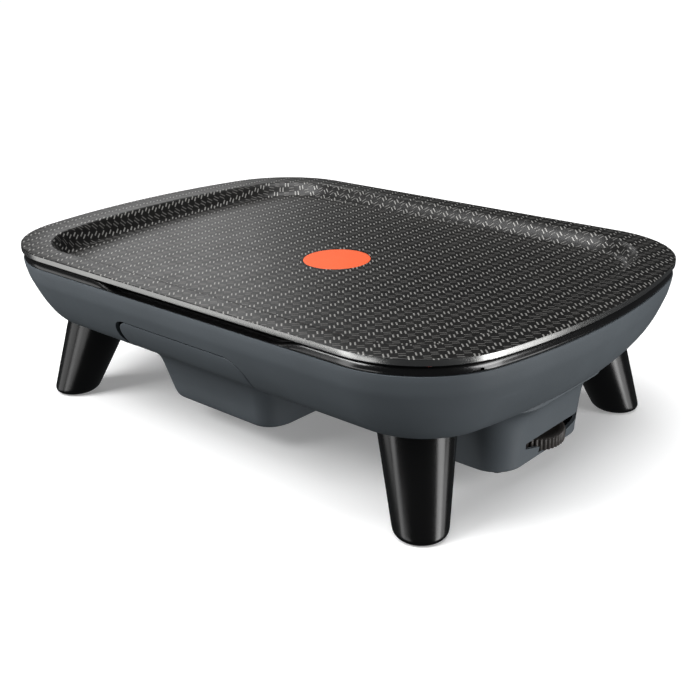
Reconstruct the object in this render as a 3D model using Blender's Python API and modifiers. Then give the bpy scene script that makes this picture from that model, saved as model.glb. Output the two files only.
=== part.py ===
"""Electric plancha: a lift-off cooking plate on a heated base with a drip drawer.

Metres, +Z up. The origin is on the worktop under the middle of the plate. +X is the
long axis, towards the thermostat housing, and the drip drawer pulls out along -Y.
"""

import math

import bmesh
import bpy
from mathutils import Vector

# Shared clearances
GAP = 0.0003
RUNNING_GAP = 0.0004
OVERRUN = 0.003

# Cooking plate
PLATE_LENGTH = 0.4376
PLATE_WIDTH = 0.310
PLATE_CORNER_RADIUS = 0.072
PLATE_END_RADIUS = 0.460
PLATE_TOP = 0.120
PLATE_THICKNESS = 0.0042
PLATE_EDGE_ROUND = 0.0007
FLANGE_END = 0.0228
FLANGE_SIDE = 0.016
RECESS_CORNER_RADIUS = 0.055
RECESS_END_RADIUS = 0.440
RECESS_DEPTH = 0.012
RECESS_RUN = 0.013
PLATE_FLOOR_THICKNESS = 0.0045
FLOOR_FALL_SHARE = 0.015
RECESS_RUN_DEPTH_SHARES = (
    (1.0, 1.0), (0.86, 0.97), (0.73, 0.87), (0.62, 0.72),
    (0.38, 0.26), (0.27, 0.12), (0.14, 0.03), (0.0, 0.0),
)
DRAIN_LENGTH = 0.030
DRAIN_WIDTH = 0.006
DRAIN_WALL = 0.0025
DRAIN_SPOUT_DROP = 0.005
DRAIN_FROM_FOOT = 0.009

# Heat indicator let into the plate
INDICATOR_RADIUS = 0.0242
INDICATOR_THICKNESS = 0.0005
INDICATOR_POCKET_DEPTH = 0.0008

# Body shell
RIM_INSET = 0.0009
RIM_DROP = 0.0107
BODY_BOTTOM = 0.0605
BODY_TUCK = 0.0355
BODY_SHIFT = 0.004
BODY_WALL = 0.0028
BODY_TUCK_HEIGHT_SHARES = (
    (0.0, 1.0), (0.01, 0.94), (0.034, 0.857), (0.07, 0.755), (0.125, 0.653), (0.19, 0.541),
    (0.27, 0.418), (0.365, 0.296), (0.47, 0.184), (0.60, 0.09), (0.78, 0.025), (1.0, 0.0),
)
VENT_LENGTH = 0.036
VENT_WIDTH = 0.004
VENT_PITCH = 0.011
VENT_COUNT = 4
VENT_TO_DRAWER = 0.049
VENT_Y = 0.055

# Thermostat housing under the body's +X end
HOUSING_INSET = 0.0378
HOUSING_LENGTH = 0.085
HOUSING_Y = (-0.054, 0.046)
HOUSING_BOTTOM = 0.014
HOUSING_RADIUS = 0.020
HOUSING_WALL = 0.0025
HOUSING_FLARE = 0.014
HOUSING_BOTTOM_ROUND = 0.004
EDGE_SHARES = (0.35, 0.3)
HOUSING_ROOM_SHARE = 0.43
HOUSING_FLARE_HEIGHT_SHARES = ((0.0, 0.08), (0.13, 0.50), (0.24, 0.73), (0.43, 0.85), (0.78, 0.94), (1.0, 1.0))
COVER_THICKNESS = 0.0025
COVER_BOSS_RADIUS = 0.0042
COVER_BOSS_INSET = 0.0077
COVER_BOSS_HEIGHT = 0.016
BOSS_WEB_SHARE = 0.38

# Trim ring that carries the plate
RING_INSET = 0.0016
BEAD_WIDTH = 0.0076
BEAD_HEIGHT = 0.0055
BEAD_LOW_SHARE = 0.16
BEAD_FOOT_SHARE = 0.1
BEAD_SHARES = (
    (0.0, 0.0), (-0.05, 0.3), (0.03, 0.62), (0.24, 0.9), (0.5, 1.0), (0.76, 0.87), (0.95, 0.5), (1.0, 0.13),
)
BEAD_GAP_X = (-0.079, 0.112)
BEAD_TAPER = 0.026
RING_WALL_INSET = 0.0102
RING_WALL = 0.0021
RING_WALL_HEIGHT = 0.0053
RING_BASE = 0.0010
RING_SKIRT = 0.0018
RING_SKIRT_DROP = 0.0054
RING_SKIRT_GAP = 0.0006
CLIP_WINDOW = (0.007, 0.004, 0.0013)
CLIP_ANGLE = math.radians(-26.0)
CLIP_FOOT_SHARE = 0.12
PAD_ANGLE = math.radians(48.0)
PAD_RADIUS = 0.0025
PAD_HEIGHT = 0.0010

# Legs
LEG_REACH = (0.0292, 0.0337)
LEG_SPLAY = 0.0171
LEG_TOP_RADIUS = 0.0240
LEG_HEIGHT_SHARES = ((0.0, 0.595), (0.016, 0.645), (0.045, 0.69), (0.09, 0.712), (1.0, 1.0), (1.23, 1.073))
FOOT_PAD_RADIUS = 0.0095
FOOT_PAD_HEIGHT = 0.0032
FOOT_PAD_PROUD = 0.0010

# Drip drawer
DRAWER_X = (-0.0690, 0.0330)
DRAWER_INSET = 0.052
DRAWER_LENGTH = 0.079
DRAWER_BOTTOM = 0.0155
DRAWER_RADIUS = 0.012
DRAWER_WALL = 0.0025
DRAWER_RIM = 0.0020
PANEL_X = (-0.0690, 0.0520)
PANEL_HEIGHT_SHARE = 0.547
PANEL_CORNER_RADIUS = 0.0140
PANEL_THICKNESS = 0.0036
PANEL_GAP = 0.0008
GRIP_GAP = 0.0028
DRAWER_SIDE_ROUND = 0.005
DRAWER_FLANGE = 0.0053
DRAWER_TRAVEL = 0.080
PANEL_FRONT_SHARES = (
    (0.0, 0.11, 0.02, -0.33), (0.04, 0.035, 0.0, -0.29), (0.13, 0.0, -0.02, -0.25),
    (0.43, -0.029, -0.057, -0.12), (0.69, -0.066, -0.07, 0.02), (0.81, -0.1, -0.072, 0.1),
    (0.91, -0.155, -0.072, 0.42), (0.985, -0.201, -0.07, 0.64), (0.99, -0.204, 0.0, 0.65),
    (1.0, -0.21, 0.0, 0.68),
)
PANEL_EDGE_SHARE = 0.45
PANEL_TOP_SHARE = 0.85
ROOM_LEAD_SHARES = (1.6, 1.4)
GUIDE_REACH_SHARE = 0.8
GUIDE_LEG = 0.0052
GUIDE_THICKNESS = 0.0018

# Thermostat, its wheel and its sprung probe
WHEEL_INSET = 0.0185
WHEEL_Y = 0.003
WHEEL_RADIUS = 0.024
WHEEL_THICKNESS = 0.008
WHEEL_BASE = 0.0175
WHEEL_TEETH = 48
WHEEL_TOOTH_DEPTH = 0.0009
WHEEL_HUB_RADIUS = 0.007
WHEEL_HUB_ABOVE = 0.002
WHEEL_SLOT_HALF = 0.0335
WHEEL_SLOT_TOP = 0.030
WHEEL_SLOT_LOW = 0.0171
WHEEL_SLOT_SHARES = ((1.0, 1.0), (1.0, 0.69), (0.76, 0.52), (0.50, 0.34), (0.28, 0.12), (0.0, 0.0))
SHAFT_RADIUS = 0.0029
SHAFT_IN_THERMOSTAT = 0.0125
THERMOSTAT_SIZE = (0.025, 0.030, 0.015)
THERMOSTAT_BASE = 0.0335
THERMOSTAT_OFFSET = -0.003
BRACKET_WIDTH = 0.012
BRACKET_THICKNESS = 0.0012
BRACKET_FOOT = 0.0149
BRACKET_OFFSET = -0.0015
PROBE_HEAD_RADIUS = 0.007
PROBE_HEAD_HEIGHT = 0.004
PROBE_STEM_RADIUS = 0.0025
PROBE_TRAVEL = 0.003
PROBE_STEM_CLEARANCE = 0.0040
GUIDE_TUBE_RADIUS = 0.005
SPRING_ROOM = 0.0239
SPRING_RADIUS = 0.0042
SPRING_WIRE_RADIUS = 0.0005
SPRING_TURNS = 6
SPRING_POINTS_PER_TURN = 12

# Heat shield and heating element
SHIELD_END_INSET = 0.0408
SHIELD_FRONT_INSET = 0.056
SHIELD_BACK_INSET = 0.036
SHIELD_RADIUS = 0.045
SHIELD_DROP = 0.0171
SHIELD_THICKNESS = 0.0008
SHIELD_LIP = 0.0048
SHIELD_LIP_RUN = 0.003
SHIELD_PROBE_HOLE = 0.0085
SHIELD_PIN_HOLE = 0.006
POST_RADIUS = 0.0045
POST_END_INSET = 0.0688
POST_SIDE_INSET = 0.075
ELEMENT_RADIUS = 0.0035
ELEMENT_BELOW_PLATE = 0.0005
ELEMENT_SIDE_INSET = 0.077
ELEMENT_PIN_Y = 0.024
ELEMENT_PIN_INSET = 0.059
ELEMENT_FAR_INSET = 0.1068
ELEMENT_NEAR_INSET = 0.0688
ELEMENT_CORNER_RADIUS = 0.020
ELEMENT_PIN_BEND = 0.012
ELEMENT_PIN_END = 0.057
CRADLE_X = 0.060
CRADLE_WIDTH = 0.0135
CRADLE_LENGTH = 0.008
CUTOUT_RADIUS = 0.007
CUTOUT_HEIGHT = 0.0055
CUTOUT_NECK_SHARE = 0.8
CUTOUT_INSET = 0.081
CUTOUT_Y = 0.060

# Wiring in the housing
BLOCK_SIZE = (0.022, 0.016, 0.012)
BLOCK_INSET = 0.063
BLOCK_Y = 0.016
GLAND_Z = 0.038
GLAND_COLLAR_RADIUS = 0.0085
GLAND_COLLAR = 0.0026
GLAND_CROWN_SHARE = 0.85
GLAND_NECK_RADIUS = 0.006
GLAND_NECK = 0.007
GLAND_BORE_RADIUS = 0.0036
LEAD_RADIUS = 0.0012
LEAD_POINTS = 14

# Screws
SCREW_RADIUS = 0.0018
SCREW_HEAD_RADIUS = 0.0036
SCREW_HEAD_HEIGHT = 0.0022
SCREW_SLOT = 0.0009
LEG_SCREW_LENGTH = 0.018
COVER_SCREW_LENGTH = 0.010
BRACKET_SCREW_LENGTH = 0.006
SHIELD_SCREW_SHARE = 0.31
SCREW_HEAD_SHARES = (0.4, 0.5, 0.85)

# Facets
CORNER_STEPS = 8
END_STEPS = 2
ROUND_STEPS = 20
SCREW_STEPS = 8

# Heights and places worked out from the sizes above
HALF_LENGTH = PLATE_LENGTH / 2
HALF_WIDTH = PLATE_WIDTH / 2
RECESS_LENGTH = PLATE_LENGTH - 2 * FLANGE_END
RECESS_WIDTH = PLATE_WIDTH - 2 * FLANGE_SIDE
HOUSING_X = (HALF_LENGTH - HOUSING_INSET - HOUSING_LENGTH, HALF_LENGTH - HOUSING_INSET)
DRAWER_FRONT = DRAWER_INSET - HALF_WIDTH
DRAWER_BACK = DRAWER_FRONT + DRAWER_LENGTH
WHEEL_X = HOUSING_X[1] - WHEEL_INSET
ELEMENT_RUN_Y = HALF_WIDTH - ELEMENT_SIDE_INSET
ELEMENT_PIN_X = HOUSING_X[1] - ELEMENT_PIN_INSET
ELEMENT_FAR_X = ELEMENT_FAR_INSET - HALF_LENGTH
ELEMENT_NEAR_X = HALF_LENGTH - ELEMENT_NEAR_INSET
CUTOUT_X = HOUSING_X[1] - CUTOUT_INSET
BLOCK_X = HOUSING_X[1] - BLOCK_INSET
GLAND_X = BLOCK_X
VENT_X = DRAWER_X[0] - VENT_TO_DRAWER
RIM_HEIGHT = PLATE_TOP - RIM_DROP
BODY_DEPTH = RIM_HEIGHT - BODY_BOTTOM
BODY_FLOOR = BODY_BOTTOM + BODY_WALL
DRAWER_HEIGHT = BODY_BOTTOM - DRAWER_BOTTOM
PANEL_TOP = BODY_BOTTOM + BODY_DEPTH * PANEL_HEIGHT_SHARE
PLATE_UNDERSIDE = PLATE_TOP - PLATE_THICKNESS
RECESS_FLOOR = PLATE_TOP - RECESS_DEPTH
FLOOR_UNDERSIDE = RECESS_FLOOR - PLATE_FLOOR_THICKNESS
ELEMENT_Z = FLOOR_UNDERSIDE - ELEMENT_BELOW_PLATE - ELEMENT_RADIUS
SHIELD_TOP = RIM_HEIGHT - SHIELD_DROP
SHIELD_UNDERSIDE = SHIELD_TOP - SHIELD_THICKNESS
RING_SEAT = RIM_HEIGHT + RUNNING_GAP
HOUSING_SPAN = BODY_BOTTOM - HOUSING_BOTTOM
COVER_TOP = HOUSING_BOTTOM + GAP + COVER_THICKNESS
WHEEL_TOP = WHEEL_BASE + WHEEL_THICKNESS
THERMOSTAT_TOP = THERMOSTAT_BASE + THERMOSTAT_SIZE[2]
BRACKET_TOP = THERMOSTAT_TOP + GAP + BRACKET_THICKNESS
PROBE_TOP = FLOOR_UNDERSIDE - GAP
GUIDE_TUBE_TOP = PROBE_TOP - PROBE_HEAD_HEIGHT - SPRING_ROOM
DRAIN_X = sum(DRAWER_X) / 2
DRAIN_Y = RECESS_RUN + DRAIN_FROM_FOOT - RECESS_WIDTH / 2

COLOURS = {
    "shell": ((0.075, 0.092, 0.105, 1.0), 0.55, 0.0),
    "gloss_black": ((0.006, 0.006, 0.006, 1.0), 0.12, 0.0),
    "plate": ((0.030, 0.028, 0.026, 1.0), 0.45, 0.0),
    "indicator": ((0.90, 0.12, 0.05, 1.0), 0.45, 0.0),
    "wheel": ((0.040, 0.036, 0.033, 1.0), 0.45, 0.0),
    "rubber": ((0.015, 0.015, 0.015, 1.0), 0.80, 0.0),
    "steel": ((0.55, 0.55, 0.56, 1.0), 0.30, 1.0),
    "aluminised": ((0.70, 0.70, 0.70, 1.0), 0.35, 1.0),
    "element": ((0.16, 0.14, 0.13, 1.0), 0.45, 1.0),
    "bakelite": ((0.05, 0.035, 0.03, 1.0), 0.45, 0.0),
    "nylon": ((0.75, 0.74, 0.70, 1.0), 0.45, 0.0),
    "silicone": ((0.35, 0.05, 0.04, 1.0), 0.60, 0.0),
}


def clear_scene():
    for obj in list(bpy.data.objects):
        bpy.data.objects.remove(obj, do_unlink=True)


def new_collection(name):
    collection = bpy.data.collections.new(name)
    bpy.context.scene.collection.children.link(collection)
    return collection


def make_materials():
    made = {}
    for name, (colour, roughness, metallic) in COLOURS.items():
        material = bpy.data.materials.new(name)
        material.use_nodes = True
        shader = material.node_tree.nodes["Principled BSDF"]
        shader.inputs["Base Color"].default_value = colour
        shader.inputs["Roughness"].default_value = roughness
        shader.inputs["Metallic"].default_value = metallic
        material.diffuse_color = colour
        made[name] = material
    return made


def mesh_object(name, bm, smooth_angle=math.radians(35.0)):
    """Turn a bmesh into an object whose faces point outwards."""
    bmesh.ops.recalc_face_normals(bm, faces=bm.faces)
    mesh = bpy.data.meshes.new(name)
    bm.to_mesh(mesh)
    bm.free()
    mesh.shade_smooth()
    mesh.set_sharp_from_angle(angle=smooth_angle)
    return bpy.data.objects.new(name, mesh)


def part(obj, material):
    """Put a finished piece in the model's collection with its material."""
    obj.data.materials.clear()
    obj.data.materials.append(MATERIALS[material])
    PARTS.objects.link(obj)
    return obj


def cutter(obj):
    """Keep a tool piece apart from the model: it only cuts, joins or guides."""
    obj.hide_render = True
    obj.display_type = "WIRE"
    CUTTERS.objects.link(obj)
    return obj


def boolean(obj, tool, operation):
    modifier = obj.modifiers.new(operation.lower(), "BOOLEAN")
    modifier.operation = operation
    modifier.solver = "EXACT"
    modifier.object = tool


def skin(bm, rings, close_loop=False):
    """Join rings of equal length with quads, and close the ends or the loop."""
    loops = [[bm.verts.new(point) for point in ring] for ring in rings]
    pairs = list(zip(loops, loops[1:]))
    if close_loop:
        pairs.append((loops[-1], loops[0]))
    for low, high in pairs:
        for i in range(len(low)):
            j = (i + 1) % len(low)
            bm.faces.new((low[i], low[j], high[j], high[i]))
    if not close_loop:
        bm.faces.new(loops[0])
        bm.faces.new(loops[-1])


def loft(name, rings, close_loop=False):
    """A closed solid through rings of unlike size, stacked one after the other."""
    bm = bmesh.new()
    skin(bm, rings, close_loop)
    return mesh_object(name, bm)


def split_quads(bm):
    """Make every quad two flat triangles, where rings that lean leave quads out of flat."""
    bmesh.ops.triangulate(bm, faces=[face for face in bm.faces if len(face.verts) == 4])


def arc(centre, radius, start, end, steps):
    step = (end - start) / steps
    return [
        (centre[0] + radius * math.cos(start + step * i), centre[1] + radius * math.sin(start + step * i))
        for i in range(steps + 1)
    ]


def bowed_outline(half_length, half_width, corner_radius, end_radius, side_steps=1):
    """A rectangle with round corners and gently bowed ends, from the middle of the +X end."""
    centre_y = half_width - corner_radius
    end_centre_x = half_length - end_radius
    centre_x = end_centre_x + math.sqrt((end_radius - corner_radius) ** 2 - centre_y ** 2)
    tilt = math.atan2(centre_y, centre_x - end_centre_x)
    quarter = arc((end_centre_x, 0.0), end_radius, 0.0, tilt, END_STEPS)[:-1]
    quarter += arc((centre_x, centre_y), corner_radius, tilt, math.pi / 2, CORNER_STEPS)
    quarter += [(centre_x * (1 - i / side_steps), half_width) for i in range(1, side_steps)]
    back = [(-x, y) for x, y in reversed(quarter)]
    middle = [(0.0, half_width)]
    upper = quarter + middle + back
    lower = [(x, -y) for x, y in reversed(upper[1:-1])]
    return upper + lower


def plate_outline(inset, side_steps=1):
    return bowed_outline(
        HALF_LENGTH - inset, HALF_WIDTH - inset,
        PLATE_CORNER_RADIUS - inset, PLATE_END_RADIUS - inset, side_steps,
    )


def recess_outline(inset):
    return bowed_outline(
        RECESS_LENGTH / 2 - inset, RECESS_WIDTH / 2 - inset,
        RECESS_CORNER_RADIUS - inset, RECESS_END_RADIUS - inset,
    )


def box_outline(x_range, y_range, radius, steps=4):
    """A rectangle with round corners between the given limits, counter-clockwise."""
    (x0, x1), (y0, y1) = x_range, y_range
    centres = ((x1 - radius, y1 - radius), (x0 + radius, y1 - radius),
               (x0 + radius, y0 + radius), (x1 - radius, y0 + radius))
    points = []
    for quarter, centre in enumerate(centres):
        start = quarter * math.pi / 2
        points += arc(centre, radius, start, start + math.pi / 2, steps)
    return points


def level(outline, z):
    return [Vector((x, y, z)) for x, y in outline]


def circle(radius, z, steps=ROUND_STEPS, centre=(0.0, 0.0)):
    turn = 2 * math.pi / steps
    return [
        Vector((centre[0] + radius * math.cos(turn * i), centre[1] + radius * math.sin(turn * i), z))
        for i in range(steps)
    ]


def box(name, x_range, y_range, z_range):
    bm = bmesh.new()
    bmesh.ops.create_cube(bm, size=1.0)
    for vert in bm.verts:
        for axis, (low, high) in enumerate((x_range, y_range, z_range)):
            vert.co[axis] = low + (high - low) * (vert.co[axis] + 0.5)
    return mesh_object(name, bm)


def cylinder(name, centre, radius, z_range, steps=ROUND_STEPS):
    rings = [circle(radius, z, steps, centre) for z in z_range]
    return loft(name, rings)


def merged(name, pieces):
    """One tool object that holds several separate closed pieces."""
    bm = bmesh.new()
    for piece in pieces:
        bm.from_mesh(piece.data)
        bpy.data.objects.remove(piece, do_unlink=True)
    return cutter(mesh_object(name, bm))


def turned(name, profile, steps):
    """A solid of revolution about Z: the profile runs down its outer side."""
    mesh = bpy.data.meshes.new(name)
    points = [(radius, 0.0, z) for radius, z in profile]
    edges = [(i, i + 1) for i in range(len(points) - 1)]
    mesh.from_pydata(points, edges, [])
    obj = bpy.data.objects.new(name, mesh)
    screw = obj.modifiers.new("turn", "SCREW")
    screw.steps = steps
    screw.render_steps = steps
    screw.use_merge_vertices = True
    screw.merge_threshold = 0.00001
    screw.use_smooth_shade = True
    return obj


def offset_profile(profile, distance):
    """Move a polyline of (inset, height) sideways, towards the inside of the wall."""
    moved = []
    last = len(profile) - 1
    for i, (inset, height) in enumerate(profile):
        before, after = profile[max(i - 1, 0)], profile[min(i + 1, last)]
        along = Vector((after[0] - before[0], after[1] - before[1])).normalized()
        moved.append((inset - along.y * distance, height + along.x * distance))
    return moved


def poly_tube(name, points, radius, resolution):
    """A round wire along points, with filled caps."""
    curve = bpy.data.curves.new(name, "CURVE")
    curve.dimensions = "3D"
    curve.bevel_depth = radius
    curve.bevel_resolution = resolution
    curve.use_fill_caps = True
    spline = curve.splines.new("POLY")
    spline.points.add(len(points) - 1)
    for target, point in zip(spline.points, points):
        target.co = (*point, 1.0)
    return bpy.data.objects.new(name, curve)


def extruded(name, outline, x_range):
    """A solid with an outline in the YZ plane, between two places along X."""
    rings = [[Vector((x, y, z)) for y, z in outline] for x in x_range]
    return loft(name, rings)


def screw_at(name, place, length, up=False):
    """A pan-head screw whose head sits at place; it points down unless told to point up."""
    head, shank = SCREW_HEAD_RADIUS, SCREW_RADIUS
    recess_foot, recess_edge, crown = (head * share for share in SCREW_HEAD_SHARES)
    profile = (
        (0.0, SCREW_HEAD_HEIGHT - SCREW_SLOT), (recess_foot, SCREW_HEAD_HEIGHT - SCREW_SLOT),
        (recess_edge, SCREW_HEAD_HEIGHT), (crown, SCREW_HEAD_HEIGHT), (head, 0.0),
        (shank, 0.0), (shank, -length), (0.0, -length - shank),
    )
    obj = turned(name, profile, SCREW_STEPS)
    obj.location = place
    if up:
        obj.rotation_euler = (math.pi, 0.0, 0.0)
    return part(obj, "steel")


def body_profile():
    """The body's outer side as (inset from the plate's outline, height), from the rim down."""
    return [
        (RIM_INSET + BODY_TUCK * tuck, BODY_BOTTOM + BODY_DEPTH * height)
        for tuck, height in BODY_TUCK_HEIGHT_SHARES
    ]


def body_solid(name, profile, top_extension=0.0):
    """A solid through the body's sections, which shift towards the housing as they tuck in."""
    if top_extension:
        profile = [(profile[0][0], profile[0][1] + top_extension)] + profile
    rings = []
    for inset, z in profile:
        shift = BODY_SHIFT * (front_inset(z) - RIM_INSET) / BODY_TUCK
        rings.append([Vector((x + shift, y, z)) for x, y in plate_outline(inset)])
    return loft(name, rings)


def front_inset(z):
    """Where the body's front side lies at a height: its inset from the plate's outline."""
    profile = body_profile()
    if z >= RIM_HEIGHT:
        return profile[0][0]
    for (inset_a, z_a), (inset_b, z_b) in zip(profile, profile[1:]):
        if z_b <= z <= z_a:
            share = (z_a - z) / (z_a - z_b)
            return inset_a + (inset_b - inset_a) * share
    return profile[-1][0]


def make_plate():
    reach = [
        (RECESS_RUN * run, PLATE_TOP - RECESS_DEPTH * depth)
        for run, depth in RECESS_RUN_DEPTH_SHARES
    ]
    fall = [depth * FLOOR_FALL_SHARE for run, depth in RECESS_RUN_DEPTH_SHARES]
    rings = []
    for (inset, z), slope in zip(reach, fall):
        rings.append([Vector((x, y, z + slope * y)) for x, y in recess_outline(inset)])
    bend = PLATE_EDGE_ROUND
    edge = arc((bend, PLATE_TOP - bend), bend, math.pi / 2, math.pi, 2)
    edge += arc((bend, PLATE_UNDERSIDE + bend), bend, math.pi, 3 * math.pi / 2, 2)
    rings += [level(plate_outline(inset), z) for inset, z in edge]
    under = offset_profile(list(reversed(reach)), -PLATE_THICKNESS)
    rings += [level(recess_outline(inset - 2 * bend), PLATE_UNDERSIDE) for inset, z in under[:1]]
    rings += [level(recess_outline(inset), min(z, PLATE_UNDERSIDE)) for inset, z in under[1:-1]]
    rings.append(level(recess_outline(under[-1][0]), FLOOR_UNDERSIDE))
    bm = bmesh.new()
    skin(bm, rings)
    split_quads(bm)
    plate = part(mesh_object("cooking_plate", bm), "plate")

    half = DRAIN_LENGTH / 2
    spout = loft("drain_spout_body", [
        level(slot_outline(half + DRAIN_WALL, DRAIN_WIDTH / 2 + DRAIN_WALL), z)
        for z in (FLOOR_UNDERSIDE - DRAIN_SPOUT_DROP, FLOOR_UNDERSIDE + PLATE_FLOOR_THICKNESS / 4)
    ])
    boolean(plate, cutter(spout), "UNION")
    hole = loft("drain_hole", [
        level(slot_outline(half, DRAIN_WIDTH / 2), z)
        for z in (FLOOR_UNDERSIDE - DRAIN_SPOUT_DROP - OVERRUN, PLATE_TOP)
    ])
    pocket = tilted_disc("indicator_pocket", INDICATOR_RADIUS + GAP, (-INDICATOR_POCKET_DEPTH, OVERRUN))
    boolean(plate, merged("plate_cuts", [hole, pocket]), "DIFFERENCE")
    disc_top = INDICATOR_THICKNESS - INDICATOR_POCKET_DEPTH + GAP
    part(tilted_disc("heat_indicator_disc", INDICATOR_RADIUS, (GAP - INDICATOR_POCKET_DEPTH, disc_top)), "indicator")


def slot_outline(half_length, half_width, steps=6):
    """A slot with round ends at the drain, along X."""
    run = half_length - half_width
    right = arc((DRAIN_X + run, DRAIN_Y), half_width, -math.pi / 2, math.pi / 2, steps)
    left = arc((DRAIN_X - run, DRAIN_Y), half_width, math.pi / 2, 3 * math.pi / 2, steps)
    return right + left


def tilted_disc(name, radius, z_range):
    """A disc at the middle of the plate's floor, which falls towards the drain."""
    rings = []
    for z in z_range:
        ring = circle(radius, RECESS_FLOOR + z, 2 * ROUND_STEPS)
        rings.append([Vector((p.x, p.y, p.z + FLOOR_FALL_SHARE * p.y)) for p in ring])
    return loft(name, rings)


def housing_outline(flare):
    x_range = (HOUSING_X[0] - flare, HOUSING_X[1] + flare)
    y_range = (HOUSING_Y[0] - flare, HOUSING_Y[1] + flare)
    return box_outline(x_range, y_range, HOUSING_RADIUS + flare, 6)


def make_body():
    profile = body_profile()
    body = part(body_solid("body_shell", profile), "shell")
    inner = offset_profile(profile, BODY_WALL)
    inner = [(inset, min(z, RIM_HEIGHT)) for inset, z in inner]
    room = body_solid("body_room", inner, OVERRUN)
    cuts = [cutter(room), cutter(panel_opening()), housing_room(), body_cuts()]
    for tool in cuts:
        boolean(body, tool, "DIFFERENCE")


def housing_room():
    """The space inside the thermostat housing, up through the body's floor."""
    mouth = housing_outline(-HOUSING_BOTTOM_ROUND)
    rings = [level(mouth, z) for z in (HOUSING_BOTTOM - OVERRUN, COVER_TOP + GAP)]
    for flare, height in HOUSING_FLARE_HEIGHT_SHARES:
        inset = HOUSING_FLARE * min(flare, HOUSING_ROOM_SHARE) - HOUSING_WALL
        rings.append(level(housing_outline(inset), HOUSING_BOTTOM + HOUSING_SPAN * height))
    rings.append(level(housing_outline(inset), BODY_FLOOR + OVERRUN))
    return cutter(loft("housing_room", rings))


def body_seat():
    """The body's outer side, grown by the gap, which shapes what fits against it."""
    grown = [(inset - GAP, z - GAP) for inset, z in body_profile()]
    return body_solid("body_seat", grown, OVERRUN)


def make_housing():
    """The thermostat housing under the body, open to it at the top."""
    edge = HOUSING_BOTTOM_ROUND
    rings = [
        level(housing_outline(-edge), HOUSING_BOTTOM),
        level(housing_outline(-edge * EDGE_SHARES[0]), HOUSING_BOTTOM + edge * EDGE_SHARES[1]),
    ]
    for flare, height in HOUSING_FLARE_HEIGHT_SHARES:
        rings.append(level(housing_outline(HOUSING_FLARE * flare), HOUSING_BOTTOM + HOUSING_SPAN * height))
    rings.append(level(housing_outline(HOUSING_FLARE), BODY_FLOOR + HOUSING_FLARE))
    housing = part(loft("control_housing", rings), "shell")
    boolean(housing, cutter(body_seat()), "DIFFERENCE")
    boolean(housing, housing_room(), "DIFFERENCE")
    for number, place in enumerate(cover_boss_places()):
        z_range = (COVER_TOP + GAP, COVER_TOP + COVER_BOSS_HEIGHT)
        boss = cylinder("boss", place, COVER_BOSS_RADIUS, z_range, 12)
        boolean(housing, cutter(boss), "UNION")
        boolean(housing, cutter(boss_web(number)), "UNION")
    relief = cylinder("wheel_relief", (WHEEL_X, WHEEL_Y), WHEEL_RADIUS + 2 * RUNNING_GAP,
                      (WHEEL_SLOT_LOW, WHEEL_TOP + RUNNING_GAP), 3 * ROUND_STEPS)
    for tool in (cutter(relief), housing_cuts()):
        boolean(housing, tool, "DIFFERENCE")


def cover_boss_places():
    inset = HOUSING_BOTTOM_ROUND + COVER_BOSS_INSET
    xs = (HOUSING_X[0] + inset, HOUSING_X[1] - inset)
    ys = (HOUSING_Y[0] + inset, HOUSING_Y[1] - inset)
    return [(x, y) for x in xs for y in ys]


def boss_web(number):
    """A rib that ties a screw boss to the housing's nearer side wall."""
    x, y = cover_boss_places()[number]
    middle_y = sum(HOUSING_Y) / 2
    wall_y = HOUSING_Y[0] if y < middle_y else HOUSING_Y[1]
    y_range = sorted((y, wall_y + math.copysign(HOUSING_WALL / 2, middle_y - wall_y)))
    half = COVER_BOSS_RADIUS * BOSS_WEB_SHARE
    z_range = (COVER_TOP + 2 * GAP, COVER_TOP + COVER_BOSS_HEIGHT - GAP)
    return box("boss_web", (x - half, x + half), y_range, z_range)


def body_cuts():
    """What is cut through the body's floor: drawer slot, screw holes and vents."""
    pieces = [drawer_slot()]
    through = (BODY_BOTTOM - OVERRUN, BODY_FLOOR + OVERRUN)
    for x, y in leg_screw_places() + bracket_screw_places():
        pieces.append(cylinder("floor_hole", (x, y), SCREW_RADIUS + GAP, through, SCREW_STEPS))
    for side in (-1, 1):
        for row in range(VENT_COUNT):
            x = VENT_X + VENT_PITCH * (row - (VENT_COUNT - 1) / 2)
            y = side * VENT_Y
            x_range = (x - VENT_WIDTH / 2, x + VENT_WIDTH / 2)
            pieces.append(box("vent", x_range, (y - VENT_LENGTH / 2, y + VENT_LENGTH / 2), through))
    return merged("body_cuts", pieces)


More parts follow.
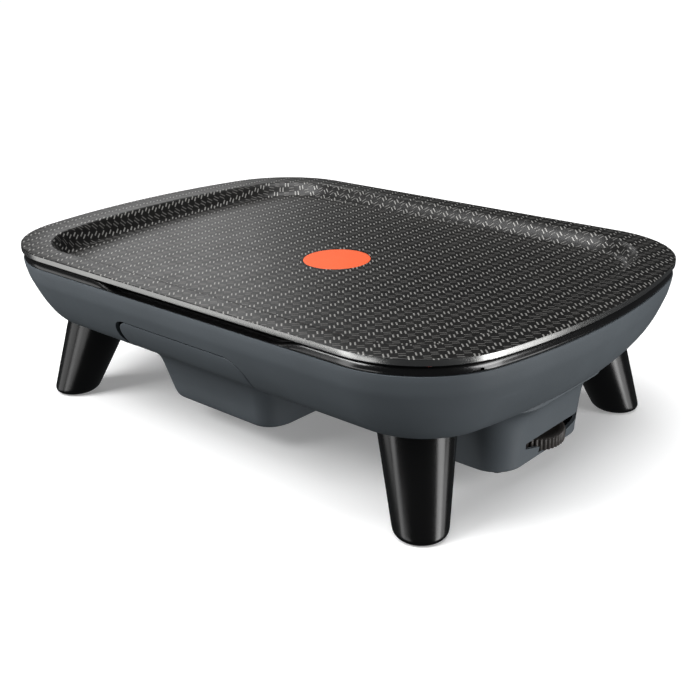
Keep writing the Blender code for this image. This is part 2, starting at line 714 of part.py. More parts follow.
def housing_cuts():
    """What is cut into the housing: wheel slot, screw holes and the gland's hole."""
    span = WHEEL_SLOT_TOP - WHEEL_SLOT_LOW
    half = [(WHEEL_SLOT_HALF * out, WHEEL_SLOT_LOW + span * up) for out, up in WHEEL_SLOT_SHARES]
    outline = [(WHEEL_Y + y, z) for y, z in half] + [(WHEEL_Y - y, z) for y, z in reversed(half[:-1])]
    slot_x = (HOUSING_X[1] - 2 * HOUSING_WALL, HOUSING_X[1] + HOUSING_FLARE)
    pieces = [extruded("wheel_slot", outline, slot_x)]
    boss_hole = (COVER_TOP - OVERRUN, COVER_TOP + COVER_SCREW_LENGTH + OVERRUN)
    for x, y in cover_boss_places():
        pieces.append(cylinder("boss_hole", (x, y), SCREW_RADIUS + GAP, boss_hole, SCREW_STEPS))
    tip = BODY_FLOOR + BRACKET_THICKNESS - BRACKET_SCREW_LENGTH - SCREW_RADIUS
    for x, y in bracket_screw_places():
        pieces.append(cylinder("shelf_hole", (x, y), SCREW_RADIUS + GAP, (tip, BODY_FLOOR), SCREW_STEPS))
    gland = cylinder("gland_hole", (GLAND_X, -GLAND_Z), GLAND_NECK_RADIUS + GAP,
                     (HOUSING_Y[1] - HOUSING_RADIUS / 2, HOUSING_Y[1] + HOUSING_FLARE))
    for vert in gland.data.vertices:
        vert.co = (vert.co.x, vert.co.z, -vert.co.y)
    pieces.append(gland)
    return merged("housing_cuts", pieces)


def panel_top_outline(grow, grip):
    """The drawer panel seen from the front, as (x, z), grown by a gap and wider at the grip."""
    x0, x1 = PANEL_X[0] - grow - grip, PANEL_X[1] + grow
    top = PANEL_TOP + grow
    low = BODY_BOTTOM - OVERRUN
    radius = PANEL_CORNER_RADIUS + grow
    right = arc((x1 - radius, top - radius), radius, 0.0, math.pi / 2, 6)
    left = arc((x0 + radius, top - radius), radius, math.pi / 2, math.pi, 6)
    foot = x0 + grip
    return [(x1, low)] + right + left + [(foot, BODY_FLOOR), (foot, low)]


def panel_opening():
    outline = panel_top_outline(PANEL_GAP, GRIP_GAP)
    y_range = (-HALF_WIDTH - OVERRUN, panel_seat_y())
    return loft("panel_opening", [[Vector((x, y, z)) for x, z in outline] for y in y_range])


def panel_seat_y():
    """The back of the opening that the drawer panel closes."""
    return front_y(BODY_BOTTOM) + OVERRUN


def front_y(z):
    return front_inset(z) - HALF_WIDTH


def drawer_slot():
    reach = DRAWER_FLANGE - RUNNING_GAP
    x_range = (DRAWER_X[0] + reach, DRAWER_X[1] - reach)
    y_range = (panel_seat_y() - OVERRUN, DRAWER_BACK + PANEL_GAP)
    return box("drawer_slot", x_range, y_range, (BODY_BOTTOM - OVERRUN, BODY_FLOOR + OVERRUN))


def drawer_section(z, x_range, front, back, radius):
    return level(box_outline(x_range, (front, back), radius), z)


def drawer_rings():
    """Sections from the drawer's bottom to the top of its front panel."""
    width = DRAWER_X[1] - DRAWER_X[0]
    overhang = PANEL_X[1] - DRAWER_X[1]
    rings = []
    for height, forward, left, right in PANEL_FRONT_SHARES:
        z = DRAWER_BOTTOM + DRAWER_HEIGHT * height
        lead = DRAWER_FRONT + width * forward
        x_range = (DRAWER_X[0] + width * left, DRAWER_X[1] + overhang * right)
        rings.append((z, x_range, lead, DRAWER_BACK, DRAWER_RADIUS))
    return rings


def make_drawer():
    rings = drawer_rings()
    rim = BODY_FLOOR + RUNNING_GAP + DRAWER_RIM
    top_lead = front_y(rim)
    radius = PANEL_THICKNESS * PANEL_EDGE_SHARE
    stack = [drawer_section(*ring) for ring in rings]
    stack.append(drawer_section(rim, PANEL_X, top_lead, DRAWER_BACK, DRAWER_RADIUS))
    steps = 7
    bend = PANEL_CORNER_RADIUS
    for i in range(steps + 1):
        z = rim + GAP + (PANEL_TOP - rim - GAP) * i / steps
        rise = max(0.0, z - (PANEL_TOP - bend))
        inset = bend - math.sqrt(max(bend ** 2 - rise ** 2, 0.0))
        inset = min(inset, bend * PANEL_TOP_SHARE)
        x_range = (PANEL_X[0] + inset, PANEL_X[1] - inset)
        lead = front_y(z)
        stack.append(drawer_section(z, x_range, lead, lead + PANEL_THICKNESS, radius))
    drawer = part(loft("drip_drawer", stack), "shell")

    foot_lead, side_lead = (DRAWER_WALL * share for share in ROOM_LEAD_SHARES)
    low_top = BODY_BOTTOM - DRAWER_WALL - RUNNING_GAP
    sections = [(DRAWER_BOTTOM + DRAWER_WALL, rings[1][1], DRAWER_FRONT + foot_lead)]
    for z, x_range, lead, _, _ in rings[2:]:
        if z < low_top:
            sections.append((z, x_range, lead + side_lead))
    _, top_range, neck_lead = sections[-1]
    sections.append((low_top, top_range, neck_lead))
    back = DRAWER_BACK - DRAWER_WALL
    corner = DRAWER_RADIUS - DRAWER_WALL
    room = []
    for z, (x0, x1), lead in sections:
        x_low = (x0 + DRAWER_WALL, min(x1, DRAWER_X[1]) - DRAWER_WALL)
        room.append(drawer_section(z, x_low, lead, back, corner))
    neck = DRAWER_FLANGE + DRAWER_WALL + RUNNING_GAP
    x_neck = (DRAWER_X[0] + neck, DRAWER_X[1] - neck)
    room.append(drawer_section(low_top + GAP, x_neck, neck_lead, back, corner))
    room.append(drawer_section(rim + OVERRUN, x_neck, front_y(rim) + PANEL_THICKNESS + GAP, back, corner))
    cuts = [cutter(loft("drawer_room", room)), panel_trim(rings, rim), drawer_grooves()]
    for tool in cuts:
        boolean(drawer, tool, "DIFFERENCE")


def panel_trim(rings, rim):
    """Clears the bin's side behind the part of the panel that is wider than the bin."""
    wide = [(ring[0], ring[2] + PANEL_THICKNESS) for ring in rings[4:]]
    wide.append((rim + OVERRUN, front_y(rim) + PANEL_THICKNESS + GAP))
    outline = [(lead, z) for z, lead in wide]
    outline += [(DRAWER_BACK + OVERRUN, wide[-1][0]), (DRAWER_BACK + OVERRUN, wide[0][0])]
    return cutter(extruded("panel_trim", outline, (DRAWER_X[1], PANEL_X[1] + OVERRUN)))


def drawer_grooves():
    """The grooves along the bin's sides that run on the edges of the body's floor."""
    z_range = (BODY_BOTTOM - RUNNING_GAP, BODY_FLOOR + RUNNING_GAP)
    y_range = (panel_seat_y() - RUNNING_GAP, DRAWER_BACK + OVERRUN)
    left = (DRAWER_X[0] - OVERRUN, DRAWER_X[0] + DRAWER_FLANGE)
    right = (DRAWER_X[1] - DRAWER_FLANGE, PANEL_X[1] + OVERRUN)
    return merged("drawer_grooves", [box("groove", x_range, y_range, z_range) for x_range in (left, right)])


def make_drawer_guides():
    """Strips on the body's floor that hold the drawer's side flanges down."""
    base = BODY_FLOOR + GAP
    lip = BODY_FLOOR + RUNNING_GAP + DRAWER_RIM + RUNNING_GAP
    top = lip + GUIDE_THICKNESS
    y_range = (panel_seat_y() + OVERRUN, DRAWER_BACK)
    for name, edge, side in (("drawer_guide_left", DRAWER_X[0], -1), ("drawer_guide_right", DRAWER_X[1], 1)):
        near = edge + side * RUNNING_GAP
        far = near + side * GUIDE_LEG
        reach = edge - side * DRAWER_FLANGE * GUIDE_REACH_SHARE
        outline = [(near, base), (far, base), (far, top), (reach, top), (reach, lip), (near, lip)]
        rings = [[Vector((x, y, z)) for x, z in outline] for y in y_range]
        part(loft(name, rings), "nylon")


def bead_height_share(x, y):
    """1 where the bead stands full, 0 in the middle of the long sides where it dips away."""
    if abs(y) < HALF_WIDTH - PLATE_CORNER_RADIUS:
        return 1.0
    low, high = BEAD_GAP_X
    inside = min(x - low, high - x)
    share = max(0.0, min(1.0, 1.0 - inside / BEAD_TAPER))
    return share * share * (3 - 2 * share)


def ring_section(share):
    """The trim ring's section as (inset, height), with the bead at a share of its height."""
    lift = BEAD_HEIGHT * (BEAD_LOW_SHARE + (1 - BEAD_LOW_SHARE) * share)
    section = [(RING_INSET + BEAD_WIDTH * across, RING_SEAT + lift * up) for across, up in BEAD_SHARES]
    wall_top = RING_SEAT + RING_WALL_HEIGHT
    under = RING_SEAT - RING_BASE
    skirt = RIM_INSET + BODY_WALL + RING_SKIRT_GAP + RING_BASE
    foot = RING_SEAT - RING_SKIRT_DROP
    section += [
        (RING_WALL_INSET, RING_SEAT + BEAD_HEIGHT * BEAD_FOOT_SHARE), (RING_WALL_INSET, wall_top),
        (RING_WALL_INSET + RING_WALL, wall_top), (RING_WALL_INSET + RING_WALL, under),
        (skirt + RING_SKIRT, under), (skirt + RING_SKIRT, foot), (skirt, foot), (skirt, RING_SEAT),
    ]
    return section


def make_ring():
    side_steps = 10
    stations = list(zip(*(
        [(x, y) for x, y in plate_outline(inset, side_steps)] for inset in (0.0, RING_WALL_INSET)
    )))
    bm = bmesh.new()
    rings = []
    for outer, inner in stations:
        inward = (Vector(inner) - Vector(outer)) / RING_WALL_INSET
        ring = []
        for inset, z in ring_section(bead_height_share(*outer)):
            x, y = Vector(outer) + inward * inset
            ring.append(Vector((x, y, z)))
        rings.append(ring)
    skin(bm, rings, close_loop=True)
    split_quads(bm)
    ring = part(mesh_object("support_ring", bm, math.radians(40.0)), "gloss_black")

    pads = pad_places()
    crest = RING_SEAT + BEAD_HEIGHT
    pocket = (crest - PAD_HEIGHT, crest + OVERRUN)
    cuts = [cylinder("pad_pocket", place, PAD_RADIUS + GAP, pocket, 12) for place in pads]
    cuts.append(clip_window())
    boolean(ring, merged("ring_cuts", cuts), "DIFFERENCE")
    top = PLATE_UNDERSIDE - GAP
    for number, place in enumerate(pads, 1):
        part(cylinder(f"plate_pad_{number}", place, PAD_RADIUS, (crest - PAD_HEIGHT + GAP, top), 12), "silicone")


def corner_centre():
    centre_y = HALF_WIDTH - PLATE_CORNER_RADIUS
    reach = PLATE_END_RADIUS - PLATE_CORNER_RADIUS
    return HALF_LENGTH - PLATE_END_RADIUS + math.sqrt(reach ** 2 - centre_y ** 2), centre_y


def corner_place(inset, angle):
    """A point in the +X, +Y corner at an inset from the plate's outline."""
    x, y = corner_centre()
    radius = PLATE_CORNER_RADIUS - inset
    return x + radius * math.cos(angle), y + radius * math.sin(angle)


def pad_places():
    x, y = corner_place(RING_INSET + BEAD_WIDTH / 2, PAD_ANGLE)
    return [(x, y), (-x, y), (-x, -y), (x, -y)]


def clip_window():
    """The small window of a snap clip in the bead, near the +X, -Y corner."""
    length, depth, height = CLIP_WINDOW
    x, y = corner_place(RING_INSET, -CLIP_ANGLE)
    window = box("clip_window", (-depth / 2, depth / 2), (-length / 2, length / 2), (0.0, height))
    turn = Vector((math.cos(CLIP_ANGLE), math.sin(CLIP_ANGLE)))
    for vert in window.data.vertices:
        across, along, up = vert.co
        vert.co = (x + turn.x * across - turn.y * along, -y + turn.y * across + turn.x * along,
                   RING_SEAT + BEAD_HEIGHT * CLIP_FOOT_SHARE + up)
    return window


def leg_places():
    """(foot, top) centres of the four legs on the worktop and at the body's bottom."""
    places = []
    x, y = corner_centre()
    for side_x in (1, -1):
        for side_y in (-1, 1):
            low = Vector((side_x * (x + LEG_REACH[0]), side_y * (y + LEG_REACH[1])))
            lean = Vector((side_x * LEG_SPLAY, side_y * LEG_SPLAY))
            places.append((low, low - lean))
    return places


def leg_screw_places():
    return [tuple(top) for low, top in leg_places()]


def leg_rings(low, top):
    rings = []
    for up, size in LEG_HEIGHT_SHARES:
        centre = low.lerp(top, up)
        z = FOOT_PAD_PROUD + (BODY_BOTTOM - FOOT_PAD_PROUD) * up
        rings.append(circle(LEG_TOP_RADIUS * size, z, ROUND_STEPS, centre))
    return rings


def make_legs():
    skin_cutter = cutter(body_seat())
    for number, (low, top) in enumerate(leg_places(), 1):
        leg = part(loft(f"leg_{number}", leg_rings(low, top)), "gloss_black")
        boolean(leg, skin_cutter, "DIFFERENCE")
        hole_top = BODY_BOTTOM + OVERRUN
        hole_bottom = BODY_BOTTOM - LEG_SCREW_LENGTH
        hole = cylinder("leg_bore", top, SCREW_RADIUS + GAP, (hole_bottom, hole_top), SCREW_STEPS)
        pad_hole = cylinder("pad_bore", low, FOOT_PAD_RADIUS + GAP,
                            (-OVERRUN, FOOT_PAD_HEIGHT + GAP), ROUND_STEPS)
        boolean(leg, merged(f"leg_cuts_{number}", [hole, pad_hole]), "DIFFERENCE")
        pad = cylinder(f"foot_pad_{number}", low, FOOT_PAD_RADIUS, (0.0, FOOT_PAD_HEIGHT), ROUND_STEPS)
        part(pad, "rubber")
        head = Vector((top.x, top.y, BODY_FLOOR + GAP))
        screw_at(f"leg_screw_{number}", head, LEG_SCREW_LENGTH)


def make_cover():
    """The plate that closes the thermostat housing from below, with its four screws."""
    outline = housing_outline(-HOUSING_BOTTOM_ROUND - GAP)
    z_range = (HOUSING_BOTTOM + GAP, COVER_TOP)
    cover = part(loft("housing_cover", [level(outline, z) for z in z_range]), "shell")
    bearing = (COVER_TOP - COVER_THICKNESS / 2, COVER_TOP + OVERRUN)
    cuts = [cylinder("bearing_bore", (WHEEL_X, WHEEL_Y), SHAFT_RADIUS + GAP, bearing)]
    for x, y in cover_boss_places():
        cuts.append(cylinder("cover_hole", (x, y), SCREW_RADIUS + GAP,
                             (HOUSING_BOTTOM - OVERRUN, COVER_TOP + OVERRUN), SCREW_STEPS))
    boolean(cover, merged("cover_cuts", cuts), "DIFFERENCE")
    for number, (x, y) in enumerate(cover_boss_places(), 1):
        screw_at(f"cover_screw_{number}", (x, y, HOUSING_BOTTOM), COVER_SCREW_LENGTH, up=True)


def make_wheel():
    """The serrated thumbwheel and the shaft it turns, both on the wheel's axis."""
    count = 2 * WHEEL_TEETH
    turn = 2 * math.pi / count

    def ring(radius, z, depth=0.0):
        points = []
        for i in range(count):
            r = radius - depth * (i % 2)
            points.append(Vector((r * math.cos(turn * i), r * math.sin(turn * i), z)))
        return points

    bore = SHAFT_RADIUS + GAP
    top = WHEEL_THICKNESS
    chamfer = WHEEL_TOOTH_DEPTH / 2
    rings = [
        ring(bore, 0.0),
        ring(WHEEL_RADIUS - WHEEL_TOOTH_DEPTH - chamfer, 0.0),
        ring(WHEEL_RADIUS, chamfer, WHEEL_TOOTH_DEPTH), ring(WHEEL_RADIUS, top - chamfer, WHEEL_TOOTH_DEPTH),
        ring(WHEEL_RADIUS - WHEEL_TOOTH_DEPTH - chamfer, top),
        ring(WHEEL_HUB_RADIUS, top), ring(WHEEL_HUB_RADIUS, top + WHEEL_HUB_ABOVE),
        ring(bore, top + WHEEL_HUB_ABOVE),
    ]
    wheel = part(loft("thumbwheel", rings, close_loop=True), "wheel")
    wheel.location = (WHEEL_X, WHEEL_Y, WHEEL_BASE)
    low = COVER_TOP - COVER_THICKNESS / 2 + GAP
    high = THERMOSTAT_BASE + SHAFT_IN_THERMOSTAT
    shaft = cylinder("control_shaft", (0.0, 0.0), SHAFT_RADIUS, (low, high))
    part(shaft, "steel").location = (WHEEL_X, WHEEL_Y, 0.0)


def make_thermostat():
    length, width, height = THERMOSTAT_SIZE
    x, y = WHEEL_X + THERMOSTAT_OFFSET, WHEEL_Y
    rings = [
        level(box_outline((x - length / 2, x + length / 2), (y - width / 2, y + width / 2), length / 8), z)
        for z in (THERMOSTAT_BASE, THERMOSTAT_TOP)
    ]
    body = part(loft("thermostat", rings), "bakelite")
    bore = cylinder("thermostat_bore", (WHEEL_X, WHEEL_Y), SHAFT_RADIUS + GAP,
                    (THERMOSTAT_BASE - OVERRUN, THERMOSTAT_BASE + SHAFT_IN_THERMOSTAT + GAP))
    boolean(body, cutter(bore), "DIFFERENCE")

    t = BRACKET_THICKNESS
    low = THERMOSTAT_TOP + GAP
    foot = BODY_FLOOR + GAP
    y0, y1 = bracket_walls()
    outline = [
        (y0 - BRACKET_FOOT, foot), (y0, foot), (y0, low), (y1, low), (y1, foot), (y1 + BRACKET_FOOT, foot),
        (y1 + BRACKET_FOOT, foot + t), (y1 - t, foot + t), (y1 - t, low + t), (y0 + t, low + t),
        (y0 + t, foot + t), (y0 - BRACKET_FOOT, foot + t),
    ]
    half = BRACKET_WIDTH / 2
    x = bracket_x()
    bracket = part(extruded("thermostat_bracket", outline, (x - half, x + half)), "steel")
    holes = [
        cylinder("bracket_bore", place, SCREW_RADIUS + GAP, (foot - OVERRUN, foot + t + OVERRUN), SCREW_STEPS)
        for place in bracket_screw_places()
    ]
    boolean(bracket, merged("bracket_cuts", holes), "DIFFERENCE")
    for number, (sx, sy) in enumerate(bracket_screw_places(), 1):
        screw_at(f"bracket_screw_{number}", (sx, sy, foot + t + GAP), BRACKET_SCREW_LENGTH)


def bracket_x():
    return WHEEL_X + BRACKET_OFFSET


def bracket_walls():
    clear = HOUSING_BOTTOM_ROUND + PANEL_GAP
    return HOUSING_Y[0] + clear, HOUSING_Y[1] - clear


def bracket_screw_places():
    y0, y1 = bracket_walls()
    reach = BRACKET_FOOT - SCREW_HEAD_RADIUS
    return [(bracket_x(), y0 - reach), (bracket_x(), y1 + reach)]


def make_probe():
    """The sprung probe that rises from the thermostat to the plate's underside."""
    centre = (WHEEL_X, WHEEL_Y, 0.0)
    head_base = PROBE_TOP - PROBE_HEAD_HEIGHT
    edge = PROBE_HEAD_HEIGHT / 4
    stem_end = BRACKET_TOP + PROBE_STEM_CLEARANCE
    profile = (
        (0.0, PROBE_TOP), (PROBE_HEAD_RADIUS - edge, PROBE_TOP), (PROBE_HEAD_RADIUS, PROBE_TOP - edge),
        (PROBE_HEAD_RADIUS, head_base), (PROBE_STEM_RADIUS, head_base), (PROBE_STEM_RADIUS, stem_end),
        (0.0, stem_end),
    )
    part(turned("temperature_probe", profile, ROUND_STEPS), "steel").location = centre

    bore = PROBE_STEM_RADIUS + RUNNING_GAP
    low = BRACKET_TOP + GAP
    sleeve = (
        (bore, GUIDE_TUBE_TOP), (GUIDE_TUBE_RADIUS, GUIDE_TUBE_TOP), (GUIDE_TUBE_RADIUS, low),
        (bore, low), (bore, GUIDE_TUBE_TOP),
    )
    part(turned("probe_guide", sleeve, ROUND_STEPS), "bakelite").location = centre

    wire = SPRING_WIRE_RADIUS
    start = GUIDE_TUBE_TOP + GAP + wire
    rise = head_base - GAP - wire - start
    count = SPRING_TURNS * SPRING_POINTS_PER_TURN
    points = []
    for i in range(count + 1):
        angle = 2 * math.pi * i / SPRING_POINTS_PER_TURN
        points.append((SPRING_RADIUS * math.cos(angle), SPRING_RADIUS * math.sin(angle), start + rise * i / count))
    part(poly_tube("probe_spring", points, wire, 0), "steel").location = centre


def make_shield():
    """The tray under the element, its posts and its screws."""
    half_x = HALF_LENGTH - SHIELD_END_INSET
    front, back = SHIELD_FRONT_INSET - HALF_WIDTH, HALF_WIDTH - SHIELD_BACK_INSET

    def ring(grow, z):
        x_range = (-half_x - grow, half_x + grow)
        y_range = (front - grow, back + grow)
        return level(box_outline(x_range, y_range, SHIELD_RADIUS + grow, 5), z)

    lip_top = SHIELD_TOP + SHIELD_LIP
    t = SHIELD_THICKNESS
    run = SHIELD_LIP_RUN
    rings = [
        ring(-t, SHIELD_UNDERSIDE), ring(t, SHIELD_UNDERSIDE), ring(run + t, lip_top),
        ring(run, lip_top), ring(0.0, SHIELD_TOP),
    ]
    shield = part(loft("heat_shield", rings), "aluminised")
    z_range = (SHIELD_UNDERSIDE - OVERRUN, SHIELD_TOP + OVERRUN)
    cuts = [cylinder("probe_hole", (WHEEL_X, WHEEL_Y), SHIELD_PROBE_HOLE, z_range)]
    cuts += [
        cylinder("pin_hole", (ELEMENT_PIN_X, side * ELEMENT_PIN_Y), SHIELD_PIN_HOLE, z_range)
        for side in (-1, 1)
    ]
    cuts += [
        cylinder("shield_hole", place, SCREW_RADIUS + GAP, z_range, SCREW_STEPS)
        for place in post_places()
    ]
    boolean(shield, merged("shield_cuts", cuts), "DIFFERENCE")
    post_base, post_top = BODY_FLOOR + GAP, SHIELD_UNDERSIDE - GAP
    length = (post_top - post_base) * SHIELD_SCREW_SHARE
    for number, (x, y) in enumerate(post_places(), 1):
        post = part(cylinder(f"shield_post_{number}", (x, y), POST_RADIUS, (post_base, post_top), 12), "steel")
        depth = post_top - length - SCREW_RADIUS
        bore = cylinder("post_bore", (x, y), SCREW_RADIUS + GAP, (depth, post_top + OVERRUN), SCREW_STEPS)
        boolean(post, cutter(bore), "DIFFERENCE")
        screw_at(f"shield_screw_{number}", (x, y, SHIELD_TOP + GAP), length)


def post_places():
    x = HALF_LENGTH - POST_END_INSET
    y = HALF_WIDTH - POST_SIDE_INSET
    return [(side_x * x, side_y * y) for side_x in (-1, 1) for side_y in (-1, 1)]


def element_path():
    """The element's centre line, from one cold pin round both long loops to the other."""
    bend = ELEMENT_PIN_BEND
    pin_x, pin_y = ELEMENT_PIN_X, ELEMENT_PIN_Y
    loop = (ELEMENT_RUN_Y - pin_y) / 2
    corner = ELEMENT_CORNER_RADIUS
    half = [Vector((pin_x, -pin_y, ELEMENT_PIN_END))]
    for x, z in arc((pin_x - bend, ELEMENT_Z - bend), bend, 0.0, math.pi / 2, 4):
        half.append(Vector((x, -pin_y, z)))
    flat = arc((ELEMENT_FAR_X, -pin_y - loop), loop, math.pi / 2, 3 * math.pi / 2, 12)
    flat += arc((ELEMENT_NEAR_X - corner, -ELEMENT_RUN_Y + corner), corner, -math.pi / 2, 0.0, 6)
    half += [Vector((x, y, ELEMENT_Z)) for x, y in flat]
    other = [Vector((p.x, -p.y, p.z)) for p in reversed(half)]
    return half + other


def make_element():
    part(poly_tube("heating_element", element_path(), ELEMENT_RADIUS, 2), "element")
    low = SHIELD_TOP + GAP
    radius = ELEMENT_RADIUS + GAP
    half = CRADLE_WIDTH / 2
    number = 0
    for side_x in (-1, 1):
        for side_y in (-1, 1):
            number += 1
            centre_y = side_y * ELEMENT_RUN_Y
            notch = arc((centre_y, ELEMENT_Z), radius, math.pi, 2 * math.pi, 8)
            outline = [(centre_y - half, ELEMENT_Z), (centre_y - half, low), (centre_y + half, low),
                       (centre_y + half, ELEMENT_Z)] + list(reversed(notch))
            x = side_x * CRADLE_X
            x_range = (x - CRADLE_LENGTH / 2, x + CRADLE_LENGTH / 2)
            part(extruded(f"element_cradle_{number}", outline, x_range), "nylon")
    top = SHIELD_UNDERSIDE - GAP
    low = top - CUTOUT_HEIGHT
    neck = CUTOUT_RADIUS * CUTOUT_NECK_SHARE
    profile = (
        (0.0, top), (CUTOUT_RADIUS, top), (CUTOUT_RADIUS, top - CUTOUT_HEIGHT / 3),
        (neck, top - CUTOUT_HEIGHT / 2), (neck, low), (0.0, low),
    )
    cutout = part(turned("thermal_cutout", profile, ROUND_STEPS), "bakelite")
    cutout.location = (CUTOUT_X, CUTOUT_Y, 0.0)


def bezier(points, count):
    """Points along a cubic curve with the given four control points."""
    a, b, c, d = (Vector(p) for p in points)
    curve = []
    for i in range(count):
        t = i / (count - 1)
        s = 1 - t
        curve.append(a * s ** 3 + b * 3 * s ** 2 * t + c * 3 * s * t ** 2 + d * t ** 3)
    return curve


def make_wiring():
    length, width, height = BLOCK_SIZE
    x_range = (BLOCK_X - length / 2, BLOCK_X + length / 2)
    y_range = (BLOCK_Y - width / 2, BLOCK_Y + width / 2)
    base = COVER_TOP + GAP
    part(box("terminal_block", x_range, y_range, (base, base + height)), "nylon")

    bore, neck, collar = GLAND_BORE_RADIUS, GLAND_NECK_RADIUS, GLAND_COLLAR_RADIUS
    profile = (
        (bore, GLAND_COLLAR), (collar * GLAND_CROWN_SHARE, GLAND_COLLAR), (collar, GLAND_COLLAR / 2),
        (collar, 0.0),
        (neck, 0.0), (neck, -GLAND_NECK), (bore, -GLAND_NECK), (bore, GLAND_COLLAR),
    )
    gland = part(turned("cord_gland", profile, ROUND_STEPS), "rubber")
    gland.location = (GLAND_X, gland_seat_y() + GAP, GLAND_Z)
    gland.rotation_euler = (-math.pi / 2, 0.0, 0.0)

    block_top = base + height + GAP + LEAD_RADIUS / 4
    stat_side = WHEEL_X + THERMOSTAT_OFFSET - THERMOSTAT_SIZE[0] / 2 - GAP
    stat_z = THERMOSTAT_TOP - THERMOSTAT_SIZE[2] / 3
    reach = THERMOSTAT_SIZE[1] / 2
    pin_end = ELEMENT_PIN_END - GAP
    supply = (
        (BLOCK_X + length / 4, BLOCK_Y, block_top), (BLOCK_X + length / 4, BLOCK_Y, block_top + reach),
        (stat_side - reach, WHEEL_Y, stat_z), (stat_side, WHEEL_Y, stat_z),
    )
    live = (
        (stat_side, WHEEL_Y - reach / 2, stat_z), (stat_side - reach, WHEEL_Y - reach / 2, stat_z),
        (ELEMENT_PIN_X, -ELEMENT_PIN_Y, pin_end - reach), (ELEMENT_PIN_X, -ELEMENT_PIN_Y, pin_end),
    )
    neutral = (
        (BLOCK_X - length / 4, BLOCK_Y, block_top), (BLOCK_X - length / 4, BLOCK_Y, block_top + reach),
        (ELEMENT_PIN_X, ELEMENT_PIN_Y, pin_end - reach), (ELEMENT_PIN_X, ELEMENT_PIN_Y, pin_end),
    )
    for name, route in (("supply_lead", supply), ("live_lead", live), ("neutral_lead", neutral)):
        part(poly_tube(name, bezier(route, LEAD_POINTS), LEAD_RADIUS, 1), "silicone")


def gland_seat_y():
    """How far the housing wall, which leans outwards, stands out behind the gland's collar."""
    share = (GLAND_Z + GLAND_COLLAR_RADIUS - HOUSING_BOTTOM) / HOUSING_SPAN
    table = HOUSING_FLARE_HEIGHT_SHARES
    for (flare_a, up_a), (flare_b, up_b) in zip(table, table[1:]):
        if up_a <= share <= up_b:
            flare = flare_a + (flare_b - flare_a) * (share - up_a) / (up_b - up_a)
            return HOUSING_Y[1] + HOUSING_FLARE * flare
    return HOUSING_Y[1]


clear_scene()
MATERIALS = make_materials()
PARTS = new_collection("electric_plancha")
CUTTERS = new_collection("cutters")
make_plate()
make_body()
make_housing()
make_ring()
make_legs()
make_drawer()
make_drawer_guides()
make_cover()
make_wheel()
make_thermostat()
make_probe()
make_shield()
make_element()
make_wiring()
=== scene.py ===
"""Looks of an electric plancha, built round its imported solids.

Metres, +Z up. +X is the long axis, towards the thermostat housing, and the drip drawer
pulls out along -Y. The floor is at z = 0, under the foot pads.
"""

import math

import bmesh
import bpy
from mathutils import Matrix, Vector


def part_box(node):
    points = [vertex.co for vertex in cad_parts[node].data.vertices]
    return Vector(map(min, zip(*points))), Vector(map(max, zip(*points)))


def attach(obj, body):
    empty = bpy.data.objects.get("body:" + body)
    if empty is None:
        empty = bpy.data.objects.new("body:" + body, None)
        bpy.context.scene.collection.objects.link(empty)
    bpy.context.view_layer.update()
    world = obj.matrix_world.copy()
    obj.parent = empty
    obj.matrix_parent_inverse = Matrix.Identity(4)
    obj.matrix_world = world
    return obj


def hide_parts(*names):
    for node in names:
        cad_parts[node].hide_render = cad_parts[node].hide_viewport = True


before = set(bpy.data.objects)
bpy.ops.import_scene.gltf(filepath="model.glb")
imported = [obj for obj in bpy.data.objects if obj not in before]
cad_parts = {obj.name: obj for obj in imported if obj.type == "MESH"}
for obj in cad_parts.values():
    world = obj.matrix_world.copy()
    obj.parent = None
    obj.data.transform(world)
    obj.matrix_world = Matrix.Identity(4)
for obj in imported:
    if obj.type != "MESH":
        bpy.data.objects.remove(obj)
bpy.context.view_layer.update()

# Camera, from the photograph's outline of the plate
CAMERA_PLACE = Vector((0.4890, -0.5423, 0.3220))
CAMERA_AIM = Vector((0.0609, -0.0562, 0.0700))
CAMERA_ROLL = math.radians(-0.72)
CAMERA_LENS = 54.47
CAMERA_SENSOR = 36.0
CAMERA_REACH = 200.0

# Facets of the finer pieces, and how their edges are shaded and rounded off
CORNER_STEPS = 28
END_STEPS = 7
SIDE_STEPS = 6
ROUND_STEPS = 72
ARC_STEPS = 12
SMOOTH_ANGLE = math.radians(35.0)
SOFT_EDGE = 0.0004
SOFT_EDGE_ANGLE = math.radians(40.0)

# Clearances between neighbours, and how far a cutting tool reaches past what it cuts
GAP = 0.0003
RUNNING_GAP = 0.0004
OVERRUN = 0.003

# Cooking plate
low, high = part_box("cooking_plate")
HALF_LENGTH = high.x
HALF_WIDTH = high.y
PLATE_TOP = high.z
PLATE_CORNER_RADIUS = 0.072
PLATE_END_RADIUS = 0.460
PLATE_THICKNESS = 0.0042
PLATE_EDGE_ROUND = 0.0005
FLANGE_END = 0.0228
FLANGE_SIDE = 0.016
RECESS_CORNER_RADIUS = 0.055
RECESS_END_RADIUS = 0.440
RECESS_DEPTH = 0.012
RECESS_RUN = 0.013
RECESS_STEPS = 14
FLOOR_MARGIN = 0.0015
PLATE_FLOOR_THICKNESS = 0.0045
FLOOR_FALL_SHARE = 0.015
DRAIN_PLACE = (-0.018, -0.117)
DRAIN_LENGTH = 0.030
DRAIN_WIDTH = 0.006
DRAIN_WALL = 0.0025
DRAIN_SPOUT_DROP = 0.005
EDGE_ROUND_STEPS = 5
UNDERSIDE_SPREAD_SHARE = 0.8
UNDERSIDE_RUN_SHARES = (1.0, 0.8, 0.65, 0.5, 0.35, 0.2, 0.0)
PLATE_UNDERSIDE = PLATE_TOP - PLATE_THICKNESS
RECESS_FLOOR = PLATE_TOP - RECESS_DEPTH
FLOOR_UNDERSIDE = RECESS_FLOOR - PLATE_FLOOR_THICKNESS

